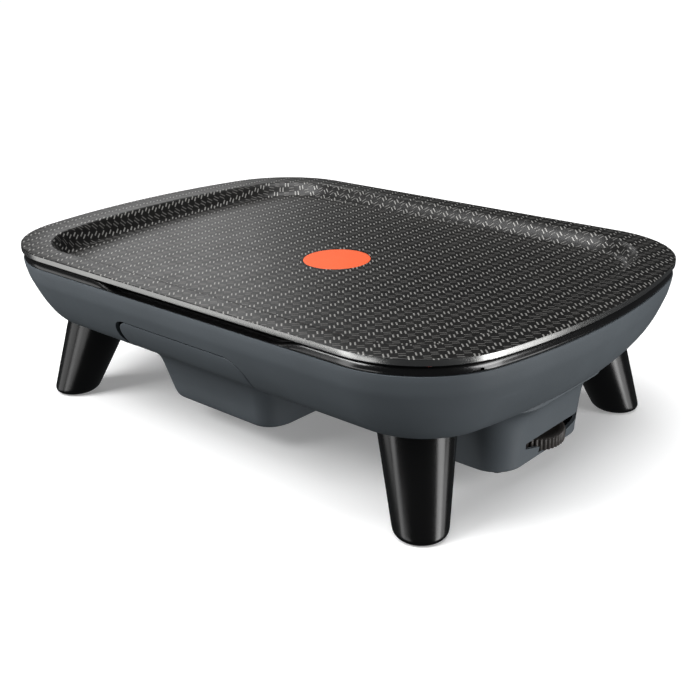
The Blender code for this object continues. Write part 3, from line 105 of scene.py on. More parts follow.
# Heat indicator's disc, which lies in a pocket of the plate's sloping floor
low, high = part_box("heat_indicator_disc")
DISC_RADIUS = (high.x - low.x) / 2
DISC_BOTTOM = low.z + DISC_RADIUS * FLOOR_FALL_SHARE
DISC_TOP = high.z - DISC_RADIUS * FLOOR_FALL_SHARE
DISC_ROUND_SHARE = 0.45
DISC_ROUND_STEPS = 4
DISC_SMOOTH_ANGLE = math.radians(60.0)

# Plate's pattern: columns of paired bars that lean left and right in turn
PITCH_X = 0.0065
PITCH_Y = 0.0071
PATTERN_ORIGIN = (-0.0014, -0.0566)
ROW_SLANT = 0.06
BAR_SPACING = 0.0027
BAR_LENGTH = 0.0044
BAR_WIDTH = 0.00085
BAR_EDGE = 0.0002

# Plate's coating: the tones of its ground and bars, the bars' tones holding painted light; each noise is
# (scale, detail)
GROUND_TONES = ((0.0035, 0.0032, 0.0029), (0.0055, 0.0051, 0.0046))
GROUND_NOISE = (14.0, 3.0)
# Bars' tones for the two leans: lighter than the ground partly as pattern and partly as painted highlight,
# the first lean painted lit and the second painted shaded
BAR_LIT_AND_SHADED_TONES = ((0.33, 0.325, 0.31), (0.14, 0.137, 0.131))
BAR_DULL_TONE = (0.08, 0.076, 0.072)
BAR_DULL_SHARE = 0.35
BAR_METALLIC = 0.35
BAR_GLOSSIER = 0.05
COATING_GRAIN = (900.0, 2.0)
COATING_GRAIN_SHARE = 0.10
COATING_PATCHES = (60.0, 4.0)
COATING_ROUGHNESS = (0.35, 0.41)
COATING_RELIEF = 0.0002
COATING_RELIEF_STRENGTH = 0.5
COATING_SPECULAR = 0.45

# What all the other surfaces share: mottling, rubbed places and patches of another gloss
MOTTLING = (16.0, 2.0)
MOTTLING_SHARES = (0.94, 1.06)
RUBBING = (95.0, 6.0)
RUBBING_STRETCH = (1.0, 0.35, 1.6)
RUBBING_RANGE = (0.66, 0.80)
RUBBED_SHARE = 1.35
GLOSS_PATCHES = (42.0, 4.0)
GLOSS_SHARES = (0.88, 1.12)
GRAIN_DETAIL = 3.0
GRAIN_STRENGTH = 0.6
NOISE_MIDDLE = (0.35, 0.65)
NOISE_SPREAD = (0.3, 0.7)

# Body, whose profile is given from the rim down as shares of its tuck and its depth
low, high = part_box("body_shell")
RIM_INSET = 0.0009
RIM_HEIGHT = high.z
BODY_BOTTOM = low.z
BODY_DEPTH = RIM_HEIGHT - BODY_BOTTOM
BODY_TUCK = 0.0355
BODY_SHIFT = 0.004
BODY_WALL = 0.0028
BODY_FLOOR = BODY_BOTTOM + BODY_WALL
BODY_TUCK_HEIGHT_SHARES = (
    (0.0, 1.0), (0.01, 0.94), (0.034, 0.857), (0.07, 0.755), (0.125, 0.653), (0.19, 0.541),
    (0.27, 0.418), (0.365, 0.296), (0.47, 0.184), (0.60, 0.09), (0.78, 0.025), (1.0, 0.0),
)
VENT_LENGTH = 0.036
VENT_WIDTH = 0.004
VENT_PITCH = 0.011
VENT_COUNT = 4
VENT_X = -0.118
VENT_Y = 0.055

# Thermostat housing
HOUSING_X = (0.096, 0.181)
HOUSING_Y = (-0.054, 0.046)
HOUSING_BOTTOM = 0.014
HOUSING_RADIUS = 0.020
HOUSING_WALL = 0.0025
HOUSING_FLARE = 0.014
HOUSING_BOTTOM_ROUND = 0.004
HOUSING_ROUND_RISE_SHARE = 0.5
HOUSING_ROUND_STEPS = 6
HOUSING_FLARE_HEIGHT_SHARES = (
    (0.0, 0.08), (0.13, 0.50), (0.24, 0.73), (0.43, 0.85), (0.78, 0.94), (1.0, 1.0),
)
HOUSING_ROOM_SHARE = 0.43
HOUSING_SPAN = BODY_BOTTOM - HOUSING_BOTTOM
COVER_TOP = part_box("housing_cover")[1].z
WHEEL_SLOT_HALF = 0.0335
WHEEL_SLOT_TOP = 0.030
WHEEL_SLOT_LOW = 0.0171
WHEEL_SLOT_SHARES = ((1.0, 1.0), (1.0, 0.69), (0.76, 0.52), (0.50, 0.34), (0.28, 0.12), (0.0, 0.0))
GLAND_RADIUS = 0.0063
GLAND_STEPS = 32

# Thumbwheel, with a dished top; the edge shares are (back, up) in half ribs' depths
low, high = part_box("thumbwheel")
WHEEL_PLACE = Vector(((low.x + high.x) / 2, (low.y + high.y) / 2, low.z))
WHEEL_RADIUS = (high.x - low.x) / 2
WHEEL_THICKNESS = 0.008
WHEEL_HUB_RADIUS = 0.007
WHEEL_HUB_ABOVE = 0.002
WHEEL_BORE_RADIUS = 0.0032
WHEEL_RIBS = 48
WHEEL_RIB_DEPTH = 0.0009
WHEEL_RIB_STEPS = 8
WHEEL_RIB_POWER = 0.6
WHEEL_EDGE_SHARES = ((0.5, 0.4), (0.0, 1.2))
WHEEL_DISH_SHARES = (0.86, 0.82)
WHEEL_HUB_FOOT_SHARE = 1.2
WHEEL_SMOOTH_ANGLE = math.radians(50.0)

# Trim ring, whose bead's section is given as shares of its width and its height
RING_INSET = 0.0016
RING_SEAT = RIM_HEIGHT + RUNNING_GAP
BEAD_WIDTH = 0.0076
BEAD_HEIGHT = 0.0055
BEAD_LOW_SHARE = 0.16
BEAD_FOOT_SHARES = ((0.0, 0.0), (-0.035, 0.2))
BEAD_CROWN_SHARES = (0.48, 0.52)
BEAD_CROWN_ARC = (math.radians(20), math.radians(170))
BEAD_STEPS = 16
BEAD_GAP_X = (-0.079, 0.112)
BEAD_TAPER = 0.026
RING_WALL_INSET = 0.0102
RING_WALL = 0.0021
RING_WALL_HEIGHT = 0.0053
RING_WALL_FOOT_SHARE = 0.1
RING_BASE = 0.0010
RING_SKIRT = 0.0018
RING_SKIRT_DROP = 0.0054
RING_SKIRT_GAP = 0.0006
RING_SIDE_STEPS = 60
RING_SMOOTH_ANGLE = math.radians(45.0)
CLIP_WINDOW = (0.007, 0.004, 0.0013)
CLIP_ANGLE = math.radians(-26.0)
CLIP_FOOT_SHARE = 0.12
PAD_COUNT = 4
PAD_RADIUS = 0.0025
PAD_STEPS = 24

# Legs, given as (height, radius) in shares of the body's height above the pads and of the top radius
LEG_COUNT = 4
LEG_SPLAY = 0.0171
LEG_TOP_RADIUS = 0.0240
LEG_FOOT_SHARES = ((0.0, 0.595), (0.016, 0.645), (0.045, 0.69), (0.09, 0.712))
LEG_SHAFT_SHARES = ((1.0, 1.0), (1.23, 1.073))
FOOT_PAD_PROUD = 0.0010

# Drip drawer; a front row is (up, forward, left, right) in shares of height, width, width and overhang
DRAWER_X = (-0.0690, 0.0330)
DRAWER_BACK = -0.024
DRAWER_FRONT = -0.1030
DRAWER_BOTTOM = 0.0155
DRAWER_HEIGHT = BODY_BOTTOM - DRAWER_BOTTOM
DRAWER_RADIUS = 0.012
DRAWER_WALL = 0.0025
DRAWER_RIM = 0.0020
DRAWER_FLANGE = 0.0053
DRAWER_SOFT_EDGE = 0.0006
DRAWER_ROOM_SHARES = (1.6, 1.4)
PANEL_X = (-0.0690, 0.0520)
PANEL_TOP = 0.0872
PANEL_STEPS = 24
PANEL_CORNER_RADIUS = 0.0140
PANEL_CORNER_STEPS = 16
PANEL_CORNER_SHARE = 0.85
PANEL_THICKNESS = 0.0036
PANEL_EDGE_SHARE = 0.45
PANEL_GAP = 0.0008
GRIP_GAP = 0.0028
PANEL_FRONT_SHARES = (
    (0.0, 0.11, 0.02, -0.33), (0.04, 0.035, 0.0, -0.29), (0.13, 0.0, -0.02, -0.25),
    (0.43, -0.029, -0.057, -0.12), (0.69, -0.066, -0.07, 0.02), (0.81, -0.1, -0.072, 0.1),
    (0.91, -0.155, -0.072, 0.42), (1.0, -0.21, -0.07, 0.68),
)

# Studio: the floor, the glow that surfaces mirror, and the lights
FLOOR_HALF_SIZE = 60.0
FLOOR_CELLS = 8
FLOOR_TONES = ((0.90, 0.90, 0.90), (0.92, 0.92, 0.92))
FLOOR_NOISE_SCALE = 3.0
FLOOR_ROUGHNESS = 0.9
FLOOR_GLOW = 0.22
WHITE = (1.0, 1.0, 1.0)
MIRRORED_TONE = (0.042, 0.044, 0.046)
SKY_PLACE = (0.0, 0.0, 3.0)
SKY_AIM = (-0.05, 0.35, 0.0)
SKY_ENERGY = 2.7
SKY_ANGLE = math.radians(50.0)
BOX_AIM = (0.0, 0.0, 0.06)

# Light boxes: name, place, energy, and width and height
LIGHT_BOXES = (
    ("left_box", (-0.49, -1.20, 0.09), 2.9, (0.32, 1.25)),
    ("low_left_box", (-1.15, -0.96, -0.15), 1.6, (0.8, 0.7)),
    ("low_front_box", (-0.09, -1.23, -0.38), 0.7, (0.5, 0.3)),
    ("high_left_box", (-0.46, -0.97, 1.10), 17.0, (0.8, 0.8)),
    ("right_box", (1.38, 0.24, -0.02), 6.8, (0.45, 1.1)),
    ("low_right_box", (1.16, 0.51, -0.34), 1.2, (0.6, 0.35)),
    ("high_right_box", (1.32, 0.24, 0.60), 5.2, (0.75, 0.35)),
    ("back_left_box", (-1.65, 1.11, 1.15), 4.1, (0.65, 1.1)),
)


def put(tree, kind, inputs=None, **settings):
    """Add a shader node, set its options, and link or set its inputs."""
    made = tree.nodes.new(kind)
    for name, value in settings.items():
        setattr(made, name, value)
    for name, value in (inputs or {}).items():
        if isinstance(value, bpy.types.NodeSocket):
            tree.links.new(value, made.inputs[name])
        else:
            made.inputs[name].default_value = value
    return made


def maths(tree, operation, first, second=0.0, third=0.0):
    return put(tree, "ShaderNodeMath", {0: first, 1: second, 2: third}, operation=operation).outputs[0]


def remap(tree, value, from_range, to_range, kind="LINEAR"):
    inputs = {
        "Value": value, "From Min": from_range[0], "From Max": from_range[1],
        "To Min": to_range[0], "To Max": to_range[1],
    }
    return put(tree, "ShaderNodeMapRange", inputs, interpolation_type=kind).outputs["Result"]


def noise(tree, coordinates, scale, detail=3.0, stretch=None):
    if stretch:
        coordinates = put(tree, "ShaderNodeMapping", {"Vector": coordinates, "Scale": stretch}).outputs[0]
    inputs = {"Vector": coordinates, "Scale": scale, "Detail": detail}
    return put(tree, "ShaderNodeTexNoise", inputs).outputs["Fac"]


def mixed(tree, share, first, second, blend="MIX"):
    """Mix two colours; each is a socket or an RGB triple."""
    made = tree.nodes.new("ShaderNodeMix")
    made.data_type = "RGBA"
    made.blend_type = blend
    sockets = [socket for socket in made.inputs if socket.type == "RGBA"]
    for socket, value in zip(sockets, (first, second)):
        if isinstance(value, bpy.types.NodeSocket):
            tree.links.new(value, socket)
        else:
            socket.default_value = (*value, 1.0)
    if isinstance(share, bpy.types.NodeSocket):
        tree.links.new(share, made.inputs[0])
    else:
        made.inputs[0].default_value = share
    return [socket for socket in made.outputs if socket.type == "RGBA"][0]


def new_material(name):
    material = bpy.data.materials.new(name)
    material.use_nodes = True
    tree = material.node_tree
    return material, tree, tree.nodes["Principled BSDF"]


def tinted(colour, share):
    return tuple(min(1.0, channel * share) for channel in colour)


def surface(name, colour, roughness, grain=0.00003, grain_scale=1400.0, metallic=0.0,
            wear=0.25, stretch=None, specular=0.5):
    """A moulded, painted or metal surface with mottling, grain, uneven gloss and light wear."""
    material, tree, shader = new_material(name)
    place = put(tree, "ShaderNodeTexCoord").outputs["Object"]
    broad = remap(tree, noise(tree, place, *MOTTLING), NOISE_MIDDLE, (0.0, 1.0))
    darker, lighter = (tinted(colour, share) for share in MOTTLING_SHARES)
    base = mixed(tree, broad, darker, lighter)
    rubbed = noise(tree, place, *RUBBING, RUBBING_STRETCH)
    worn = remap(tree, rubbed, RUBBING_RANGE, (0.0, wear))
    tree.links.new(mixed(tree, worn, base, tinted(colour, RUBBED_SHARE)), shader.inputs["Base Color"])
    patches = noise(tree, place, *GLOSS_PATCHES, stretch)
    glossiest, dullest = (min(1.0, roughness * share) for share in GLOSS_SHARES)
    tree.links.new(remap(tree, patches, NOISE_SPREAD, (glossiest, dullest)), shader.inputs["Roughness"])
    fine = noise(tree, place, grain_scale, GRAIN_DETAIL, stretch)
    bump = put(tree, "ShaderNodeBump", {"Height": fine, "Distance": grain, "Strength": GRAIN_STRENGTH})
    tree.links.new(bump.outputs[0], shader.inputs["Normal"])
    shader.inputs["Metallic"].default_value = metallic
    shader.inputs["Specular IOR Level"].default_value = specular
    return material


def nearest_whole(tree, value):
    return maths(tree, "FLOOR", maths(tree, "ADD", value, 0.5))


def bar_masks(tree):
    """Where the raised bars are, from 0 to 1, and which way the column leans, 0 or 1."""
    uv = put(tree, "ShaderNodeUVMap", uv_map="pattern").outputs[0]
    split = put(tree, "ShaderNodeSeparateXYZ", {0: uv})
    x = maths(tree, "SUBTRACT", split.outputs[0], PATTERN_ORIGIN[0])
    y = maths(tree, "SUBTRACT", split.outputs[1], PATTERN_ORIGIN[1])
    column = maths(tree, "DIVIDE", x, PITCH_X)
    row = maths(tree, "DIVIDE", maths(tree, "MULTIPLY_ADD", x, ROW_SLANT, y), PITCH_Y)
    column_number = nearest_whole(tree, column)
    row_number = nearest_whole(tree, row)
    dx = maths(tree, "MULTIPLY", maths(tree, "SUBTRACT", column, column_number), PITCH_X)
    dy = maths(tree, "MULTIPLY", maths(tree, "SUBTRACT", row, row_number), PITCH_Y)
    dy = maths(tree, "MULTIPLY_ADD", dx, -ROW_SLANT, dy)
    lean = maths(tree, "FLOORED_MODULO", column_number, 2.0)
    turned_x = maths(tree, "MULTIPLY", dx, maths(tree, "MULTIPLY_ADD", lean, -2.0, 1.0))
    root = math.sqrt(0.5)
    along = maths(tree, "ABSOLUTE", maths(tree, "MULTIPLY", maths(tree, "SUBTRACT", dy, turned_x), root))
    across = maths(tree, "ABSOLUTE", maths(tree, "MULTIPLY", maths(tree, "ADD", dy, turned_x), root))
    off = maths(tree, "ABSOLUTE", maths(tree, "SUBTRACT", across, BAR_SPACING / 2))
    half, end = BAR_WIDTH / 2, BAR_LENGTH / 2
    wide = remap(tree, off, (half - BAR_EDGE, half + BAR_EDGE), (1.0, 0.0), "SMOOTHSTEP")
    long = remap(tree, along, (end - BAR_EDGE, end + BAR_EDGE), (1.0, 0.0), "SMOOTHSTEP")
    return maths(tree, "MULTIPLY", wide, long), lean


def plate_coating():
    """Dark non-stick coating whose raised bars are lighter, partly as pattern and partly as painted
    highlight, one lean painted lit and the other painted shaded.
    """
    material, tree, shader = new_material("plate_coating")
    bars, lean = bar_masks(tree)
    place = put(tree, "ShaderNodeTexCoord").outputs["Object"]
    broad = remap(tree, noise(tree, place, *GROUND_NOISE), NOISE_MIDDLE, (0.0, 1.0))
    ground = mixed(tree, broad, *GROUND_TONES)
    fine = noise(tree, place, *COATING_GRAIN)
    dulled = remap(tree, fine, NOISE_SPREAD, (0.0, BAR_DULL_SHARE))
    # Bars' tone: pattern plus painted highlight, painted lit for one lean and painted shaded for the other,
    # dulled at random
    bar_pattern_and_painted_light = mixed(tree, dulled, mixed(tree, lean, *BAR_LIT_AND_SHADED_TONES), BAR_DULL_TONE)
    tree.links.new(mixed(tree, bars, ground, bar_pattern_and_painted_light), shader.inputs["Base Color"])
    dull = remap(tree, noise(tree, place, *COATING_PATCHES), NOISE_SPREAD, COATING_ROUGHNESS)
    tree.links.new(maths(tree, "MULTIPLY_ADD", bars, -BAR_GLOSSIER, dull), shader.inputs["Roughness"])
    tree.links.new(maths(tree, "MULTIPLY", bars, BAR_METALLIC), shader.inputs["Metallic"])
    height = maths(tree, "MULTIPLY_ADD", fine, COATING_GRAIN_SHARE, bars)
    relief = {"Height": height, "Distance": COATING_RELIEF, "Strength": COATING_RELIEF_STRENGTH}
    bump = put(tree, "ShaderNodeBump", relief)
    tree.links.new(bump.outputs[0], shader.inputs["Normal"])
    shader.inputs["Specular IOR Level"].default_value = COATING_SPECULAR
    return material


def arc(centre, radius, start, end, steps):
    """Points of an arc, both ends included."""
    step = (end - start) / steps
    return [
        (centre[0] + radius * math.cos(start + step * i), centre[1] + radius * math.sin(start + step * i))
        for i in range(steps + 1)
    ]


def smoothed(points, pieces=4):
    """A finer polyline through the same points, rounded between them."""
    fine = []
    last = len(points) - 1
    for i in range(last):
        before, here = Vector(points[max(i - 1, 0)]), Vector(points[i])
        there, after = Vector(points[i + 1]), Vector(points[min(i + 2, last)])
        for step in range(pieces):
            t = step / pieces
            fine.append(tuple(0.5 * (
                2 * here + (there - before) * t
                + (2 * before - 5 * here + 4 * there - after) * t ** 2
                + (3 * here - before - 3 * there + after) * t ** 3
            )))
    return fine + [tuple(points[-1])]


def bowed_outline(half_length, half_width, corner_radius, end_radius, side_steps=SIDE_STEPS):
    """A rectangle with round corners and gently bowed ends, from the middle of the +X end."""
    centre_y = half_width - corner_radius
    end_centre_x = half_length - end_radius
    centre_x = end_centre_x + math.sqrt((end_radius - corner_radius) ** 2 - centre_y ** 2)
    tilt = math.atan2(centre_y, centre_x - end_centre_x)
    quarter = arc((end_centre_x, 0.0), end_radius, 0.0, tilt, END_STEPS)[:-1]
    quarter += arc((centre_x, centre_y), corner_radius, tilt, math.pi / 2, CORNER_STEPS)
    quarter += [(centre_x * (1 - i / side_steps), half_width) for i in range(1, side_steps)]
    upper = quarter + [(0.0, half_width)] + [(-x, y) for x, y in reversed(quarter)]
    return upper + [(x, -y) for x, y in reversed(upper[1:-1])]


def plate_outline(inset, side_steps=SIDE_STEPS):
    return bowed_outline(HALF_LENGTH - inset, HALF_WIDTH - inset,
                         PLATE_CORNER_RADIUS - inset, PLATE_END_RADIUS - inset, side_steps)


def recess_outline(inset):
    return bowed_outline(HALF_LENGTH - FLANGE_END - inset, HALF_WIDTH - FLANGE_SIDE - inset,
                         RECESS_CORNER_RADIUS - inset, RECESS_END_RADIUS - inset)


def box_outline(x_range, y_range, radius, steps=ARC_STEPS):
    """A rectangle with round corners between the given limits, counter-clockwise."""
    (x0, x1), (y0, y1) = x_range, y_range
    centres = ((x1 - radius, y1 - radius), (x0 + radius, y1 - radius),
               (x0 + radius, y0 + radius), (x1 - radius, y0 + radius))
    points = []
    for quarter, centre in enumerate(centres):
        start = quarter * math.pi / 2
        points += arc(centre, radius, start, start + math.pi / 2, steps)
    return points


def housing_outline(flare):
    x_range = (HOUSING_X[0] - flare, HOUSING_X[1] + flare)
    y_range = (HOUSING_Y[0] - flare, HOUSING_Y[1] + flare)
    return box_outline(x_range, y_range, HOUSING_RADIUS + flare)


def circle(radius, z, centre=(0.0, 0.0), steps=ROUND_STEPS):
    return [Vector((x, y, z)) for x, y in arc(centre, radius, 0.0, 2 * math.pi, steps)[:-1]]


def sloping_circle(radius, z):
    """A circle round the plate's middle that follows its floor's fall."""
    return [Vector((p.x, p.y, p.z + FLOOR_FALL_SHARE * p.y)) for p in circle(radius, z)]


def level(outline, z):
    return [Vector((x, y, z)) for x, y in outline]


def directions(family):
    """The outward direction at each point of a family of parallel outlines."""
    step = 0.001
    return [(Vector(a) - Vector(b)) / step for a, b in zip(family(0.0), family(step))]


def ease(share):
    """A step from 0 to 1 that starts and ends level."""
    return share ** 3 * (share * (share * 6 - 15) + 10)


def finished(name, bm, materials, smooth_angle=SMOOTH_ANGLE):
    """Turn a bmesh into a linked object with its materials."""
    bmesh.ops.recalc_face_normals(bm, faces=bm.faces)
    mesh = bpy.data.meshes.new(name)
    bm.to_mesh(mesh)
    bm.free()
    mesh.shade_smooth()
    mesh.set_sharp_from_angle(angle=smooth_angle)
    obj = bpy.data.objects.new(name, mesh)
    for material in materials:
        mesh.materials.append(material)
    bpy.context.scene.collection.objects.link(obj)
    return obj


def skin(bm, rings, numbers=None, close_loop=False):
    """Join rings of equal length with quads, with a material number for each band."""
    loops = [[bm.verts.new(point) for point in ring] for ring in rings]
    pairs = list(zip(loops, loops[1:]))
    if close_loop:
        pairs.append((loops[-1], loops[0]))
    for band, (first, second) in enumerate(pairs):
        for i in range(len(first)):
            j = (i + 1) % len(first)
            face = bm.faces.new((first[i], first[j], second[j], second[i]))
            face.material_index = numbers[band] if numbers else 0
    return loops


def loft(name, rings, materials, smooth_angle=SMOOTH_ANGLE):
    """A closed solid through rings, with flat ends."""
    bm = bmesh.new()
    loops = skin(bm, rings)
    bm.faces.new(loops[0])
    bm.faces.new(loops[-1])
    return finished(name, bm, materials, smooth_angle)


def block(name, x_range, y_range, z_range, materials):
    rings = [[Vector((x, y, z)) for x, y in box_corners(x_range, y_range)] for z in z_range]
    return loft(name, rings, materials)


def box_corners(x_range, y_range):
    (x0, x1), (y0, y1) = x_range, y_range
    return [(x1, y1), (x0, y1), (x0, y0), (x1, y0)]


def carve(obj, tool, operation="DIFFERENCE"):
    """Apply a Boolean to a finished piece and remove its tool."""
    modifier = obj.modifiers.new("carve", "BOOLEAN")
    modifier.operation = operation
    modifier.solver = "EXACT"
    modifier.object = tool
    bpy.context.view_layer.update()
    graph = bpy.context.evaluated_depsgraph_get()
    mesh = bpy.data.meshes.new_from_object(obj.evaluated_get(graph), depsgraph=graph)
    mesh.set_sharp_from_angle(angle=SMOOTH_ANGLE)
    obj.modifiers.remove(modifier)
    obj.data = mesh
    bpy.data.objects.remove(tool, do_unlink=True)


def slot_outline(half_length, half_width):
    x, y = DRAIN_PLACE
    run = half_length - half_width
    right = arc((x + run, y), half_width, -math.pi / 2, math.pi / 2, ARC_STEPS)
    return right + arc((x - run, y), half_width, math.pi / 2, 3 * math.pi / 2, ARC_STEPS)


def coated_wall():
    """Rings of the recess's wall from its floor up, and how far each one's pattern is shifted outwards."""
    rings, shifts = [], []
    start = RECESS_RUN + FLOOR_MARGIN
    before = (start, 1.0)
    places = [before]
    for step in range(RECESS_STEPS + 1):
        share = step / RECESS_STEPS
        places.append((RECESS_RUN * (1 - share), ease(1 - share)))
    developed = 0.0
    for run, depth in places:
        developed += math.hypot(run - before[0], RECESS_DEPTH * (depth - before[1]))
        before = (run, depth)
        rings.append([
            Vector((x, y, PLATE_TOP - RECESS_DEPTH * depth + FLOOR_FALL_SHARE * depth * y))
            for x, y in recess_outline(run)
        ])
        shifts.append(developed - (start - run))
    return rings, shifts


def flange_edge():
    """Rings of the flange's rounded outer edge, from the top down to the underside."""
    bend = PLATE_EDGE_ROUND
    section = arc((bend, PLATE_TOP - bend), bend, math.pi / 2, math.pi, EDGE_ROUND_STEPS)
    section += arc((bend, PLATE_UNDERSIDE + bend), bend, math.pi, 3 * math.pi / 2, EDGE_ROUND_STEPS)
    return [level(plate_outline(inset), z) for inset, z in section]


def pressed_underside():
    """Rings of the underside, from the flange in and down to the recess's floor."""
    rings = []
    for share in UNDERSIDE_RUN_SHARES:
        inset = RECESS_RUN * (1 - share) - PLATE_THICKNESS * UNDERSIDE_SPREAD_SHARE
        z = max(PLATE_UNDERSIDE - RECESS_DEPTH * ease(1 - share), FLOOR_UNDERSIDE)
        rings.append(level(recess_outline(inset), z))
    return rings


def lay_pattern(bm, loops, shifts):
    """Give each corner the place that it had in the flat sheet, before the walls were bent up."""
    layer = bm.loops.layers.uv.new("pattern")
    shift = {vert: way for loop, ways in zip(loops, shifts) for vert, way in zip(loop, ways)}
    for face in bm.faces:
        for corner in face.loops:
            vert = corner.vert
            corner[layer].uv = (vert.co.x + shift[vert].x, vert.co.y + shift[vert].y)


def carve_drain(plate, material):
    """The drain slot in the floor, and the short spout under it."""
    half = DRAIN_LENGTH / 2
    spout_low = FLOOR_UNDERSIDE - DRAIN_SPOUT_DROP
    spout_high = FLOOR_UNDERSIDE + PLATE_FLOOR_THICKNESS / 4
    outline = slot_outline(half + DRAIN_WALL, DRAIN_WIDTH / 2 + DRAIN_WALL)
    spout = loft("spout", [level(outline, z) for z in (spout_low, spout_high)], [material])
    carve(plate, spout, "UNION")
    outline = slot_outline(half, DRAIN_WIDTH / 2)
    slot = loft("slot", [level(outline, z) for z in (spout_low - PLATE_EDGE_ROUND, PLATE_TOP)], [material])
    carve(plate, slot)


def make_plate(coating, edge, underside):
    """The pressed plate, coated on top, bare at its edge and dull beneath."""
    wall, wall_shifts = coated_wall()
    rim = flange_edge()
    beneath = pressed_underside()
    recess_out, plate_out = directions(recess_outline), directions(plate_outline)
    flange_shift = wall_shifts[-1]
    shifts = [[way * shift for way in recess_out] for shift in wall_shifts]
    shifts += [[way * flange_shift for way in plate_out]] * len(rim)
    shifts += [[Vector((0.0, 0.0))] * len(recess_out)] * len(beneath)
    coated, bare, dull = range(3)
    numbers = [coated] * (len(wall) + EDGE_ROUND_STEPS)
    numbers += [bare] * (EDGE_ROUND_STEPS + 1)
    numbers += [dull] * (len(beneath) + 1)
    bm = bmesh.new()
    loops = skin(bm, wall + rim + beneath, numbers)
    bm.faces.new(loops[0]).material_index = coated
    bm.faces.new(loops[-1]).material_index = dull
    lay_pattern(bm, loops, shifts)
    plate = finished("plate_pressed", bm, [coating, edge, underside])
    carve_drain(plate, underside)
    pocket = [sloping_circle(DISC_RADIUS + GAP, z) for z in (DISC_BOTTOM - GAP, PLATE_TOP)]
    carve(plate, loft("disc_pocket", pocket, [underside]))
    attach(plate, "plate")
    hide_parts("cooking_plate")


def make_disc(material):
    """The heat indicator's disc, set in the plate's floor, with a soft rim."""
    bend = (DISC_TOP - DISC_BOTTOM) * DISC_ROUND_SHARE
    quarter = arc((0.0, 0.0), bend, 0.0, math.pi / 2, DISC_ROUND_STEPS)
    section = [(bend, DISC_BOTTOM), (0.0, DISC_BOTTOM + bend)]
    section += [(bend - x, DISC_TOP - bend + y) for x, y in quarter]
    section.append((bend + FLOOR_MARGIN, DISC_TOP))
    rings = [sloping_circle(DISC_RADIUS - inset, z) for inset, z in section]
    disc = loft("indicator_disc", rings, [material], DISC_SMOOTH_ANGLE)
    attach(disc, "plate")
    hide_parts("heat_indicator_disc")


def body_profile():
    """The body's side as (inset from the plate's outline, height), from its rim down."""
    points = [
        (RIM_INSET + BODY_TUCK * tuck, BODY_BOTTOM + BODY_DEPTH * height)
        for tuck, height in BODY_TUCK_HEIGHT_SHARES
    ]
    return smoothed(points, pieces=3)


def offset_profile(profile, distance):
    """The profile moved inwards, but no higher than the rim."""
    moved = []
    last = len(profile) - 1
    for i, (inset, height) in enumerate(profile):
        before, after = profile[max(i - 1, 0)], profile[min(i + 1, last)]
        along = Vector((after[0] - before[0], after[1] - before[1])).normalized()
        moved.append((inset - along.y * distance, min(height + along.x * distance, RIM_HEIGHT)))
    return moved


def front_y(z):
    """Where the body's front side lies at a height."""
    profile = body_profile()
    if z >= RIM_HEIGHT:
        return profile[0][0] - HALF_WIDTH
    for (inset_a, z_a), (inset_b, z_b) in zip(profile, profile[1:]):
        if z_b <= z <= z_a:
            return inset_a + (inset_b - inset_a) * (z_a - z) / (z_a - z_b) - HALF_WIDTH
    return profile[-1][0] - HALF_WIDTH


def body_rings(profile, top_extension=0.0):
    """The body's sections, which shift towards the housing as they tuck in."""
    if top_extension:
        profile = [(profile[0][0], profile[0][1] + top_extension)] + profile
    rings = []
    for inset, z in profile:
        shift = BODY_SHIFT * (front_y(z) + HALF_WIDTH - RIM_INSET) / BODY_TUCK
        rings.append([Vector((x + shift, y, z)) for x, y in plate_outline(inset)])
    return rings


def panel_seat_y():
    return front_y(BODY_BOTTOM) + OVERRUN


def panel_opening(material):
    """Cuts the place of the drawer's front, with a finger gap on its -X side, out of the body."""
    x0, x1 = PANEL_X[0] - PANEL_GAP - GRIP_GAP, PANEL_X[1] + PANEL_GAP
    top = PANEL_TOP + PANEL_GAP
    radius = PANEL_CORNER_RADIUS + PANEL_GAP
    outline = [(x1, BODY_BOTTOM - OVERRUN)]
    outline += arc((x1 - radius, top - radius), radius, 0.0, math.pi / 2, PANEL_CORNER_STEPS)
    outline += arc((x0 + radius, top - radius), radius, math.pi / 2, math.pi, PANEL_CORNER_STEPS)
    outline += [(x0 + GRIP_GAP, BODY_FLOOR), (x0 + GRIP_GAP, BODY_BOTTOM - OVERRUN)]
    rings = [[Vector((x, y, z)) for x, z in outline] for y in (-HALF_WIDTH - OVERRUN, panel_seat_y())]
    return loft("panel_opening", rings, [material])


def housing_rings():
    """The housing's sections, from its rounded bottom up to where it flares into the body."""
    edge = HOUSING_BOTTOM_ROUND
    rise = HOUSING_ROUND_RISE_SHARE
    rings = [
        level(housing_outline(x - edge), HOUSING_BOTTOM + edge * rise + y * rise)
        for x, y in arc((0.0, 0.0), edge, -math.pi / 2, 0.0, HOUSING_ROUND_STEPS)
    ]
    table = [
        (HOUSING_FLARE * flare, HOUSING_BOTTOM + HOUSING_SPAN * up)
        for flare, up in HOUSING_FLARE_HEIGHT_SHARES
    ]
    rings += [level(housing_outline(flare), z) for flare, z in smoothed(table)]
    rings.append(level(housing_outline(HOUSING_FLARE), BODY_FLOOR + HOUSING_FLARE))
    return rings


def housing_room(material):
    """Cuts the housing's inside, from the cover's seat up through the body's floor."""
    mouth = housing_outline(-HOUSING_BOTTOM_ROUND)
    rings = [level(mouth, z) for z in (HOUSING_BOTTOM - OVERRUN, COVER_TOP + GAP)]
    for flare, up in HOUSING_FLARE_HEIGHT_SHARES:
        inset = HOUSING_FLARE * min(flare, HOUSING_ROOM_SHARE) - HOUSING_WALL
        rings.append(level(housing_outline(inset), HOUSING_BOTTOM + HOUSING_SPAN * up))
    rings.append(level(housing_outline(inset), BODY_FLOOR + OVERRUN))
    return loft("housing_room", rings, [material])


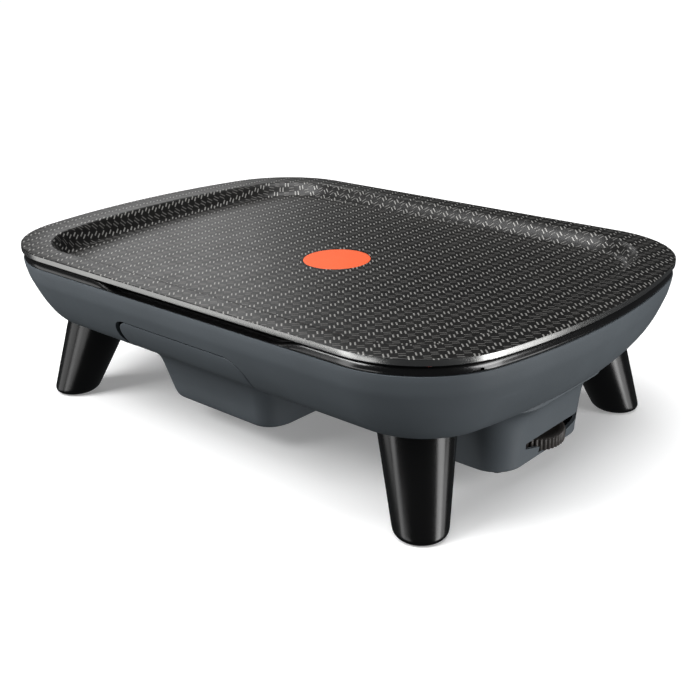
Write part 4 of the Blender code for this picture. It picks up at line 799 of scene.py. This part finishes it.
def wheel_slot(material):
    """Cuts the arched slot through which the thumbwheel is turned."""
    span = WHEEL_SLOT_TOP - WHEEL_SLOT_LOW
    middle = WHEEL_PLACE.y
    half = [(WHEEL_SLOT_HALF * out, WHEEL_SLOT_LOW + span * up) for out, up in WHEEL_SLOT_SHARES]
    outline = [(middle + y, z) for y, z in half] + [(middle - y, z) for y, z in reversed(half[:-1])]
    x_range = (HOUSING_X[1] - 2 * HOUSING_WALL, HOUSING_X[1] + HOUSING_FLARE)
    return loft("wheel_slot", [[Vector((x, y, z)) for y, z in outline] for x in x_range], [material])


def carve_body_floor(body, material):
    """The slot over the drawer's bin and the vents, all through the body's floor."""
    through = (BODY_BOTTOM - OVERRUN, BODY_FLOOR + OVERRUN)
    reach = DRAWER_FLANGE - RUNNING_GAP
    x_range = (DRAWER_X[0] + reach, DRAWER_X[1] - reach)
    y_range = (panel_seat_y() - OVERRUN, DRAWER_BACK + PANEL_GAP)
    carve(body, block("drawer_slot", x_range, y_range, through, [material]))
    for side in (-1, 1):
        for row in range(VENT_COUNT):
            x = VENT_X + VENT_PITCH * (row - (VENT_COUNT - 1) / 2)
            y = side * VENT_Y
            x_range = (x - VENT_WIDTH / 2, x + VENT_WIDTH / 2)
            y_range = (y - VENT_LENGTH / 2, y + VENT_LENGTH / 2)
            carve(body, block("vent", x_range, y_range, through, [material]))


def carve_wheel_place(body, material):
    """Room for the thumbwheel, and the slot through which it is turned."""
    centre = (WHEEL_PLACE.x, WHEEL_PLACE.y)
    z_range = (WHEEL_SLOT_LOW, WHEEL_PLACE.z + WHEEL_THICKNESS + RUNNING_GAP)
    relief = [circle(WHEEL_RADIUS + 2 * RUNNING_GAP, z, centre) for z in z_range]
    carve(body, loft("wheel_relief", relief, [material]))
    carve(body, wheel_slot(material))


def carve_gland_hole(body, material):
    low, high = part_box("cord_gland")
    x, z = (low.x + high.x) / 2, (low.z + high.z) / 2
    outline = circle(GLAND_RADIUS, 0.0, (x, z), GLAND_STEPS)
    y_range = (HOUSING_Y[1] - HOUSING_RADIUS / 2, HOUSING_Y[1] + HOUSING_FLARE)
    hole = [[Vector((p.x, y, p.y)) for p in outline] for y in y_range]
    carve(body, loft("gland_hole", hole, [material]))


def soften(obj, width=SOFT_EDGE):
    """Round the sharp edges a little, so that they catch the light."""
    bevel = obj.modifiers.new("edges", "BEVEL")
    bevel.width = width
    bevel.segments = 2
    bevel.limit_method = "ANGLE"
    bevel.angle_limit = SOFT_EDGE_ANGLE
    bevel.harden_normals = False


def make_body(material):
    """The bowl-shaped body and the thermostat housing that grows out of its underside."""
    profile = body_profile()
    body = loft("body_and_housing", body_rings(profile), [material])
    carve(body, loft("housing_outside", housing_rings(), [material]), "UNION")
    carve(body, loft("body_room", body_rings(offset_profile(profile, BODY_WALL), OVERRUN), [material]))
    carve(body, panel_opening(material))
    carve(body, housing_room(material))
    carve_body_floor(body, material)
    carve_wheel_place(body, material)
    carve_gland_hole(body, material)
    soften(body)
    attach(body, "base")
    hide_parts("body_shell", "control_housing")


def bead_height_share(x, y):
    """1 where the bead stands full, 0 in the middle of the long sides where it dips away."""
    if abs(y) < HALF_WIDTH - PLATE_CORNER_RADIUS:
        return 1.0
    low, high = BEAD_GAP_X
    share = max(0.0, min(1.0, 1.0 - min(x - low, high - x) / BEAD_TAPER))
    return share * share * (3 - 2 * share)


def ring_section(share):
    """The trim ring's section as (inset, height), with the bead at a share of its height."""
    lift = BEAD_HEIGHT * (BEAD_LOW_SHARE + (1 - BEAD_LOW_SHARE) * share)
    middle, half = BEAD_CROWN_SHARES
    bead = list(BEAD_FOOT_SHARES)
    bead += [(middle - x * half, y) for x, y in arc((0.0, 0.0), 1.0, *BEAD_CROWN_ARC, BEAD_STEPS)]
    section = [(RING_INSET + BEAD_WIDTH * across, RING_SEAT + lift * up) for across, up in bead]
    wall_top = RING_SEAT + RING_WALL_HEIGHT
    under = RING_SEAT - RING_BASE
    skirt = RIM_INSET + BODY_WALL + RING_SKIRT_GAP + RING_BASE
    foot = RING_SEAT - RING_SKIRT_DROP
    return section + [
        (RING_WALL_INSET, RING_SEAT + BEAD_HEIGHT * RING_WALL_FOOT_SHARE), (RING_WALL_INSET, wall_top),
        (RING_WALL_INSET + RING_WALL, wall_top), (RING_WALL_INSET + RING_WALL, under),
        (skirt + RING_SKIRT, under), (skirt + RING_SKIRT, foot), (skirt, foot), (skirt, RING_SEAT),
    ]


def ring_sections():
    """The trim ring's section at each point of the plate's outline, the bead as high as it is there."""
    outlines = [plate_outline(inset, RING_SIDE_STEPS) for inset in (0.0, RING_WALL_INSET)]
    rings = []
    for outer, inner in zip(*outlines):
        inward = (Vector(inner) - Vector(outer)) / RING_WALL_INSET
        ring = []
        for inset, z in ring_section(bead_height_share(*outer)):
            x, y = Vector(outer) + inward * inset
            ring.append(Vector((x, y, z)))
        rings.append(ring)
    return rings


def clip_window(material):
    """Cuts the small window of a snap clip in the bead, near the +X, -Y corner."""
    length, depth, height = CLIP_WINDOW
    centre_y = HALF_WIDTH - PLATE_CORNER_RADIUS
    end_centre_x = HALF_LENGTH - PLATE_END_RADIUS
    centre_x = end_centre_x + math.sqrt((PLATE_END_RADIUS - PLATE_CORNER_RADIUS) ** 2 - centre_y ** 2)
    turn = Vector((math.cos(CLIP_ANGLE), math.sin(CLIP_ANGLE)))
    middle = Vector((centre_x, -centre_y)) + turn * (PLATE_CORNER_RADIUS - RING_INSET)
    base = RING_SEAT + BEAD_HEIGHT * CLIP_FOOT_SHARE
    rings = []
    for z in (base, base + height):
        ring = []
        for across, along in box_corners((-depth / 2, depth / 2), (-length / 2, length / 2)):
            x = middle.x + turn.x * across - turn.y * along
            y = middle.y + turn.y * across + turn.x * along
            ring.append(Vector((x, y, z)))
        rings.append(ring)
    return loft("clip_window", rings, [material])


def make_ring(material):
    """The trim ring between body and plate, with its bead, the pads' pockets and a clip window."""
    bm = bmesh.new()
    skin(bm, ring_sections(), close_loop=True)
    ring = finished("trim_ring", bm, [material], RING_SMOOTH_ANGLE)
    for number in range(1, PAD_COUNT + 1):
        low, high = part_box(f"plate_pad_{number}")
        centre = ((low.x + high.x) / 2, (low.y + high.y) / 2)
        z_range = (low.z - GAP, PLATE_UNDERSIDE)
        pocket = [circle(PAD_RADIUS + GAP, z, centre, PAD_STEPS) for z in z_range]
        carve(ring, loft("pad_pocket", pocket, [material]))
    carve(ring, clip_window(material))
    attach(ring, "base")
    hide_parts("support_ring")


def make_legs(material):
    """Four tapered legs that lean outwards, each cut to the body's underside."""
    grown = [(inset - GAP, z - GAP) for inset, z in body_profile()]
    table = smoothed([(size, up) for up, size in LEG_FOOT_SHARES], pieces=5)
    table += [(size, up) for up, size in LEG_SHAFT_SHARES]
    for number in range(1, LEG_COUNT + 1):
        low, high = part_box(f"foot_pad_{number}")
        foot = Vector(((low.x + high.x) / 2, (low.y + high.y) / 2))
        lean = Vector((math.copysign(LEG_SPLAY, foot.x), math.copysign(LEG_SPLAY, foot.y)))
        rings = []
        for size, up in table:
            z = FOOT_PAD_PROUD + (BODY_BOTTOM - FOOT_PAD_PROUD) * up
            rings.append(circle(LEG_TOP_RADIUS * size, z, foot - lean * up))
        leg = loft(f"leg_turned_{number}", rings, [material])
        carve(leg, loft("leg_seat", body_rings(grown, OVERRUN), [material]))
        pad_room = [circle((high.x - low.x) / 2 + GAP, z, foot) for z in (-OVERRUN, high.z + GAP)]
        carve(leg, loft("pad_room", pad_room, [material]))
        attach(leg, "base")
        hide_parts(f"leg_{number}")


def drawer_rows():
    """The drawer's front as (height, low x, high x, front y), from its bottom up to the body."""
    width = DRAWER_X[1] - DRAWER_X[0]
    overhang = PANEL_X[1] - DRAWER_X[1]
    rows = []
    for height, forward, left, right in PANEL_FRONT_SHARES:
        z = DRAWER_BOTTOM + DRAWER_HEIGHT * height
        x0, x1 = DRAWER_X[0] + width * left, DRAWER_X[1] + overhang * right
        rows.append((z, x0, x1, DRAWER_FRONT + width * forward))
    return rows


def drawer_section(z, x_range, front, back, radius):
    return level(box_outline(x_range, (front, back), radius), z)


def drawer_outside(rows, rim):
    """Sections of the bin up to its rim, and of the panel that stands on its front."""
    stack = []
    for z, x0, x1, lead in smoothed(rows, pieces=5):
        stack.append(drawer_section(z, (x0, x1), lead, DRAWER_BACK, DRAWER_RADIUS))
    stack.append(drawer_section(rim, PANEL_X, front_y(rim), DRAWER_BACK, DRAWER_RADIUS))
    bend = PANEL_CORNER_RADIUS
    for i in range(PANEL_STEPS + 1):
        z = rim + GAP + (PANEL_TOP - rim - GAP) * math.sin(math.pi / 2 * i / PANEL_STEPS)
        rise = max(0.0, z - (PANEL_TOP - bend))
        inset = min(bend - math.sqrt(max(bend ** 2 - rise ** 2, 0.0)), bend * PANEL_CORNER_SHARE)
        x_range = (PANEL_X[0] + inset, PANEL_X[1] - inset)
        lead = front_y(z)
        edge = PANEL_THICKNESS * PANEL_EDGE_SHARE
        stack.append(drawer_section(z, x_range, lead, lead + PANEL_THICKNESS, edge))
    return stack


def drawer_room(rows, rim, material):
    """Cuts the bin's inside, which narrows where the flanges run in the guides."""
    floor_lead, side_lead = (DRAWER_WALL * share for share in DRAWER_ROOM_SHARES)
    low_top = BODY_BOTTOM - DRAWER_WALL - RUNNING_GAP
    inner = [(DRAWER_BOTTOM + DRAWER_WALL, *rows[1][1:3], DRAWER_FRONT + floor_lead)]
    inner += [(z, x0, x1, lead + side_lead) for z, x0, x1, lead in rows[2:] if z < low_top]
    inner.append((low_top, *inner[-1][1:]))
    back = DRAWER_BACK - DRAWER_WALL
    corner = DRAWER_RADIUS - DRAWER_WALL
    room = []
    for z, x0, x1, lead in inner:
        x_range = (x0 + DRAWER_WALL, min(x1, DRAWER_X[1]) - DRAWER_WALL)
        room.append(drawer_section(z, x_range, lead, back, corner))
    neck = DRAWER_FLANGE + DRAWER_WALL + RUNNING_GAP
    x_neck = (DRAWER_X[0] + neck, DRAWER_X[1] - neck)
    room.append(drawer_section(low_top + GAP, x_neck, inner[-1][3], back, corner))
    room.append(drawer_section(rim + OVERRUN, x_neck, front_y(rim) + PANEL_THICKNESS + GAP, back, corner))
    return loft("drawer_room", room, [material])


def panel_trim(rows, rim, material):
    """Cuts what lies behind the part of the front that is wider than the bin."""
    outline = [(row[3] + PANEL_THICKNESS, row[0]) for row in rows[4:]]
    outline.append((front_y(rim) + PANEL_THICKNESS + GAP, rim + OVERRUN))
    outline += [(DRAWER_BACK + OVERRUN, outline[-1][1]), (DRAWER_BACK + OVERRUN, outline[0][1])]
    rings = [[Vector((x, y, z)) for y, z in outline] for x in (DRAWER_X[1], PANEL_X[1] + OVERRUN)]
    return loft("panel_trim", rings, [material])


def carve_grooves(drawer, material):
    """The grooves under the flanges, in which the body's floor lies."""
    z_range = (BODY_BOTTOM - RUNNING_GAP, BODY_FLOOR + RUNNING_GAP)
    y_range = (panel_seat_y() - RUNNING_GAP, DRAWER_BACK + OVERRUN)
    left = (DRAWER_X[0] - OVERRUN, DRAWER_X[0] + DRAWER_FLANGE)
    right = (DRAWER_X[1] - DRAWER_FLANGE, PANEL_X[1] + OVERRUN)
    for x_range in (left, right):
        carve(drawer, block("groove", x_range, y_range, z_range, [material]))


def make_drawer(material):
    """The drawer: a bin that hangs under the body, and a front flush with the body's side."""
    rows = drawer_rows()
    rim = BODY_FLOOR + RUNNING_GAP + DRAWER_RIM
    drawer = loft("drawer_moulding", drawer_outside(rows, rim), [material])
    x_range = (PANEL_X[0] - DRAWER_RADIUS, PANEL_X[0])
    z_range = (BODY_BOTTOM - RUNNING_GAP, PANEL_TOP)
    carve(drawer, block("beside_panel", x_range, (-HALF_WIDTH, DRAWER_BACK + OVERRUN), z_range, [material]))
    carve(drawer, drawer_room(rows, rim, material))
    carve(drawer, panel_trim(rows, rim, material))
    carve_grooves(drawer, material)
    soften(drawer, DRAWER_SOFT_EDGE)
    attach(drawer, "drawer")
    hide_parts("drip_drawer")


def ribbed_circle(radius, z, depth=0.0):
    """A circle with ribs of the given depth, rounded on their crests."""
    points = []
    count = WHEEL_RIBS * WHEEL_RIB_STEPS
    for i in range(count):
        turn = 2 * math.pi * i / count
        crest = (1 + math.cos(turn * WHEEL_RIBS)) / 2
        r = radius - depth * (1 - crest ** WHEEL_RIB_POWER)
        points.append(Vector((r * math.cos(turn), r * math.sin(turn), z)))
    return points


def make_wheel(material):
    """The thumbwheel, with rounded ribs round its rim, a dished top and a hub."""
    top = WHEEL_THICKNESS
    hub_top = top + WHEEL_HUB_ABOVE
    edge = WHEEL_RIB_DEPTH / 2
    inner = WHEEL_RADIUS - WHEEL_RIB_DEPTH - edge
    rim = [(WHEEL_RADIUS - edge * back, edge * up) for back, up in WHEEL_EDGE_SHARES]
    dish_rim, dish_foot = (inner * share for share in WHEEL_DISH_SHARES)
    upper = (
        (inner, top), (dish_rim, top), (dish_foot, top - edge),
        (WHEEL_HUB_RADIUS * WHEEL_HUB_FOOT_SHARE, top - edge), (WHEEL_HUB_RADIUS, top),
        (WHEEL_HUB_RADIUS, hub_top), (WHEEL_BORE_RADIUS, hub_top),
    )
    rings = [ribbed_circle(radius, 0.0) for radius in (WHEEL_BORE_RADIUS, inner)]
    rings += [ribbed_circle(radius, z, WHEEL_RIB_DEPTH) for radius, z in rim]
    rings += [ribbed_circle(radius, top - z, WHEEL_RIB_DEPTH) for radius, z in reversed(rim)]
    rings += [ribbed_circle(radius, z) for radius, z in upper]
    bm = bmesh.new()
    skin(bm, rings, close_loop=True)
    wheel = finished("thumbwheel_ribbed", bm, [material], WHEEL_SMOOTH_ANGLE)
    wheel.location = WHEEL_PLACE
    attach(wheel, "control")
    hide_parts("thumbwheel")


def assign(material, names):
    for name in names:
        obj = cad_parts[name]
        obj.data.materials.clear()
        obj.data.materials.append(material)


def named(*starts):
    return [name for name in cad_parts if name.startswith(starts)]


def floor_surface():
    material, tree, shader = new_material("studio_floor")
    place = put(tree, "ShaderNodeTexCoord").outputs["Object"]
    tone = mixed(tree, noise(tree, place, FLOOR_NOISE_SCALE), *FLOOR_TONES)
    tree.links.new(tone, shader.inputs["Base Color"])
    shader.inputs["Roughness"].default_value = FLOOR_ROUGHNESS
    shader.inputs["Specular IOR Level"].default_value = 0.0
    shader.inputs["Emission Color"].default_value = (*WHITE, 1.0)
    shader.inputs["Emission Strength"].default_value = FLOOR_GLOW
    return material


def make_stage():
    """A pale floor that fills every view and catches shadows, but is seen by the camera alone."""
    bm = bmesh.new()
    bmesh.ops.create_grid(bm, x_segments=FLOOR_CELLS, y_segments=FLOOR_CELLS, size=FLOOR_HALF_SIZE)
    floor = finished("studio_floor", bm, [floor_surface()])
    floor.visible_glossy = False
    floor.visible_diffuse = False
    floor.visible_shadow = False


def make_world():
    """White to the camera, and dark to the surfaces that mirror it."""
    world = bpy.data.worlds.new("studio")
    bpy.context.scene.world = world
    world.use_nodes = True
    tree = world.node_tree
    seen = put(tree, "ShaderNodeLightPath").outputs["Is Camera Ray"]
    tone = mixed(tree, seen, MIRRORED_TONE, WHITE)
    tree.links.new(tone, tree.nodes["Background"].inputs["Color"])


def add_light(name, kind, place, aim, energy, size):
    data = bpy.data.lights.new(name, kind)
    data.energy = energy
    if kind == "AREA":
        data.shape = "RECTANGLE"
        data.size, data.size_y = size
    else:
        data.angle = size
    light = bpy.data.objects.new(name, data)
    light.location = place
    light.rotation_euler = (Vector(aim) - Vector(place)).to_track_quat("-Z", "Y").to_euler()
    light.visible_camera = False
    bpy.context.scene.collection.objects.link(light)


def make_lights():
    add_light("sky", "SUN", SKY_PLACE, SKY_AIM, SKY_ENERGY, SKY_ANGLE)
    for name, place, energy, size in LIGHT_BOXES:
        add_light(name, "AREA", place, BOX_AIM, energy, size)


def make_camera():
    data = bpy.data.cameras.new("view")
    data.lens = CAMERA_LENS
    data.sensor_width = CAMERA_SENSOR
    data.clip_end = CAMERA_REACH
    camera = bpy.data.objects.new("view", data)
    camera.location = CAMERA_PLACE
    turn = (CAMERA_AIM - CAMERA_PLACE).to_track_quat("-Z", "Y").to_matrix().to_4x4()
    camera.rotation_euler = (turn @ Matrix.Rotation(CAMERA_ROLL, 4, "Z")).to_euler()
    bpy.context.scene.collection.objects.link(camera)
    bpy.context.scene.camera = camera


def gloss_black(name, roughness, specular):
    return surface(name, (0.0030, 0.0030, 0.0031), roughness, grain=0.000004, grain_scale=260.0,
                   wear=0.1, specular=specular)


SHELL = surface("shell_matt", (0.115, 0.132, 0.146), 0.52, specular=0.35)
GLOSS = gloss_black("gloss_black", 0.22, 0.65)
RING = gloss_black("gloss_black_ring", 0.20, 1.0)
WHEEL = surface("wheel_dark", (0.060, 0.054, 0.050), 0.42)
RUBBER = surface("rubber_black", (0.015, 0.015, 0.015), 0.80, grain=0.00006)
SILICONE = surface("silicone_red", (0.32, 0.045, 0.035), 0.60)
STEEL = surface("steel_plated", (0.55, 0.55, 0.56), 0.30, metallic=1.0, stretch=(1.0, 1.0, 0.2))
ALUMINISED = surface("steel_aluminised", (0.68, 0.68, 0.67), 0.36, metallic=1.0, stretch=(0.15, 1.0, 1.0))
ELEMENT = surface("element_sheath", (0.15, 0.13, 0.12), 0.45, metallic=1.0)
BAKELITE = surface("bakelite_brown", (0.045, 0.032, 0.028), 0.42)
NYLON = surface("nylon_white", (0.72, 0.70, 0.66), 0.48)
EDGE = surface("plate_bare_edge", (0.45, 0.45, 0.44), 0.24, metallic=1.0, stretch=(0.3, 0.3, 3.0), wear=0.1)
INDICATOR = surface("indicator_orange", (0.74, 0.117, 0.042), 0.45, grain=0.00002, specular=0.15)
UNDERSIDE = surface("plate_underside", (0.10, 0.10, 0.10), 0.38, grain=0.00004, metallic=0.6)

bpy.context.scene.view_settings.view_transform = "Standard"
make_stage()
make_world()
make_lights()
make_camera()
make_plate(plate_coating(), EDGE, UNDERSIDE)
make_disc(INDICATOR)
make_body(SHELL)
make_ring(RING)
make_legs(GLOSS)
make_drawer(SHELL)
make_wheel(WHEEL)

assign(SHELL, ["housing_cover"])
assign(RUBBER, named("foot_pad", "cord_gland"))
assign(SILICONE, named("plate_pad", "supply_lead", "live_lead", "neutral_lead"))
assign(STEEL, named("leg_screw", "cover_screw", "bracket_screw", "shield_screw", "shield_post",
                    "thermostat_bracket", "control_shaft", "temperature_probe", "probe_spring"))
assign(ALUMINISED, ["heat_shield"])
assign(ELEMENT, ["heating_element"])
assign(BAKELITE, ["thermostat", "probe_guide", "thermal_cutout"])
assign(NYLON, named("terminal_block", "drawer_guide", "element_cradle"))
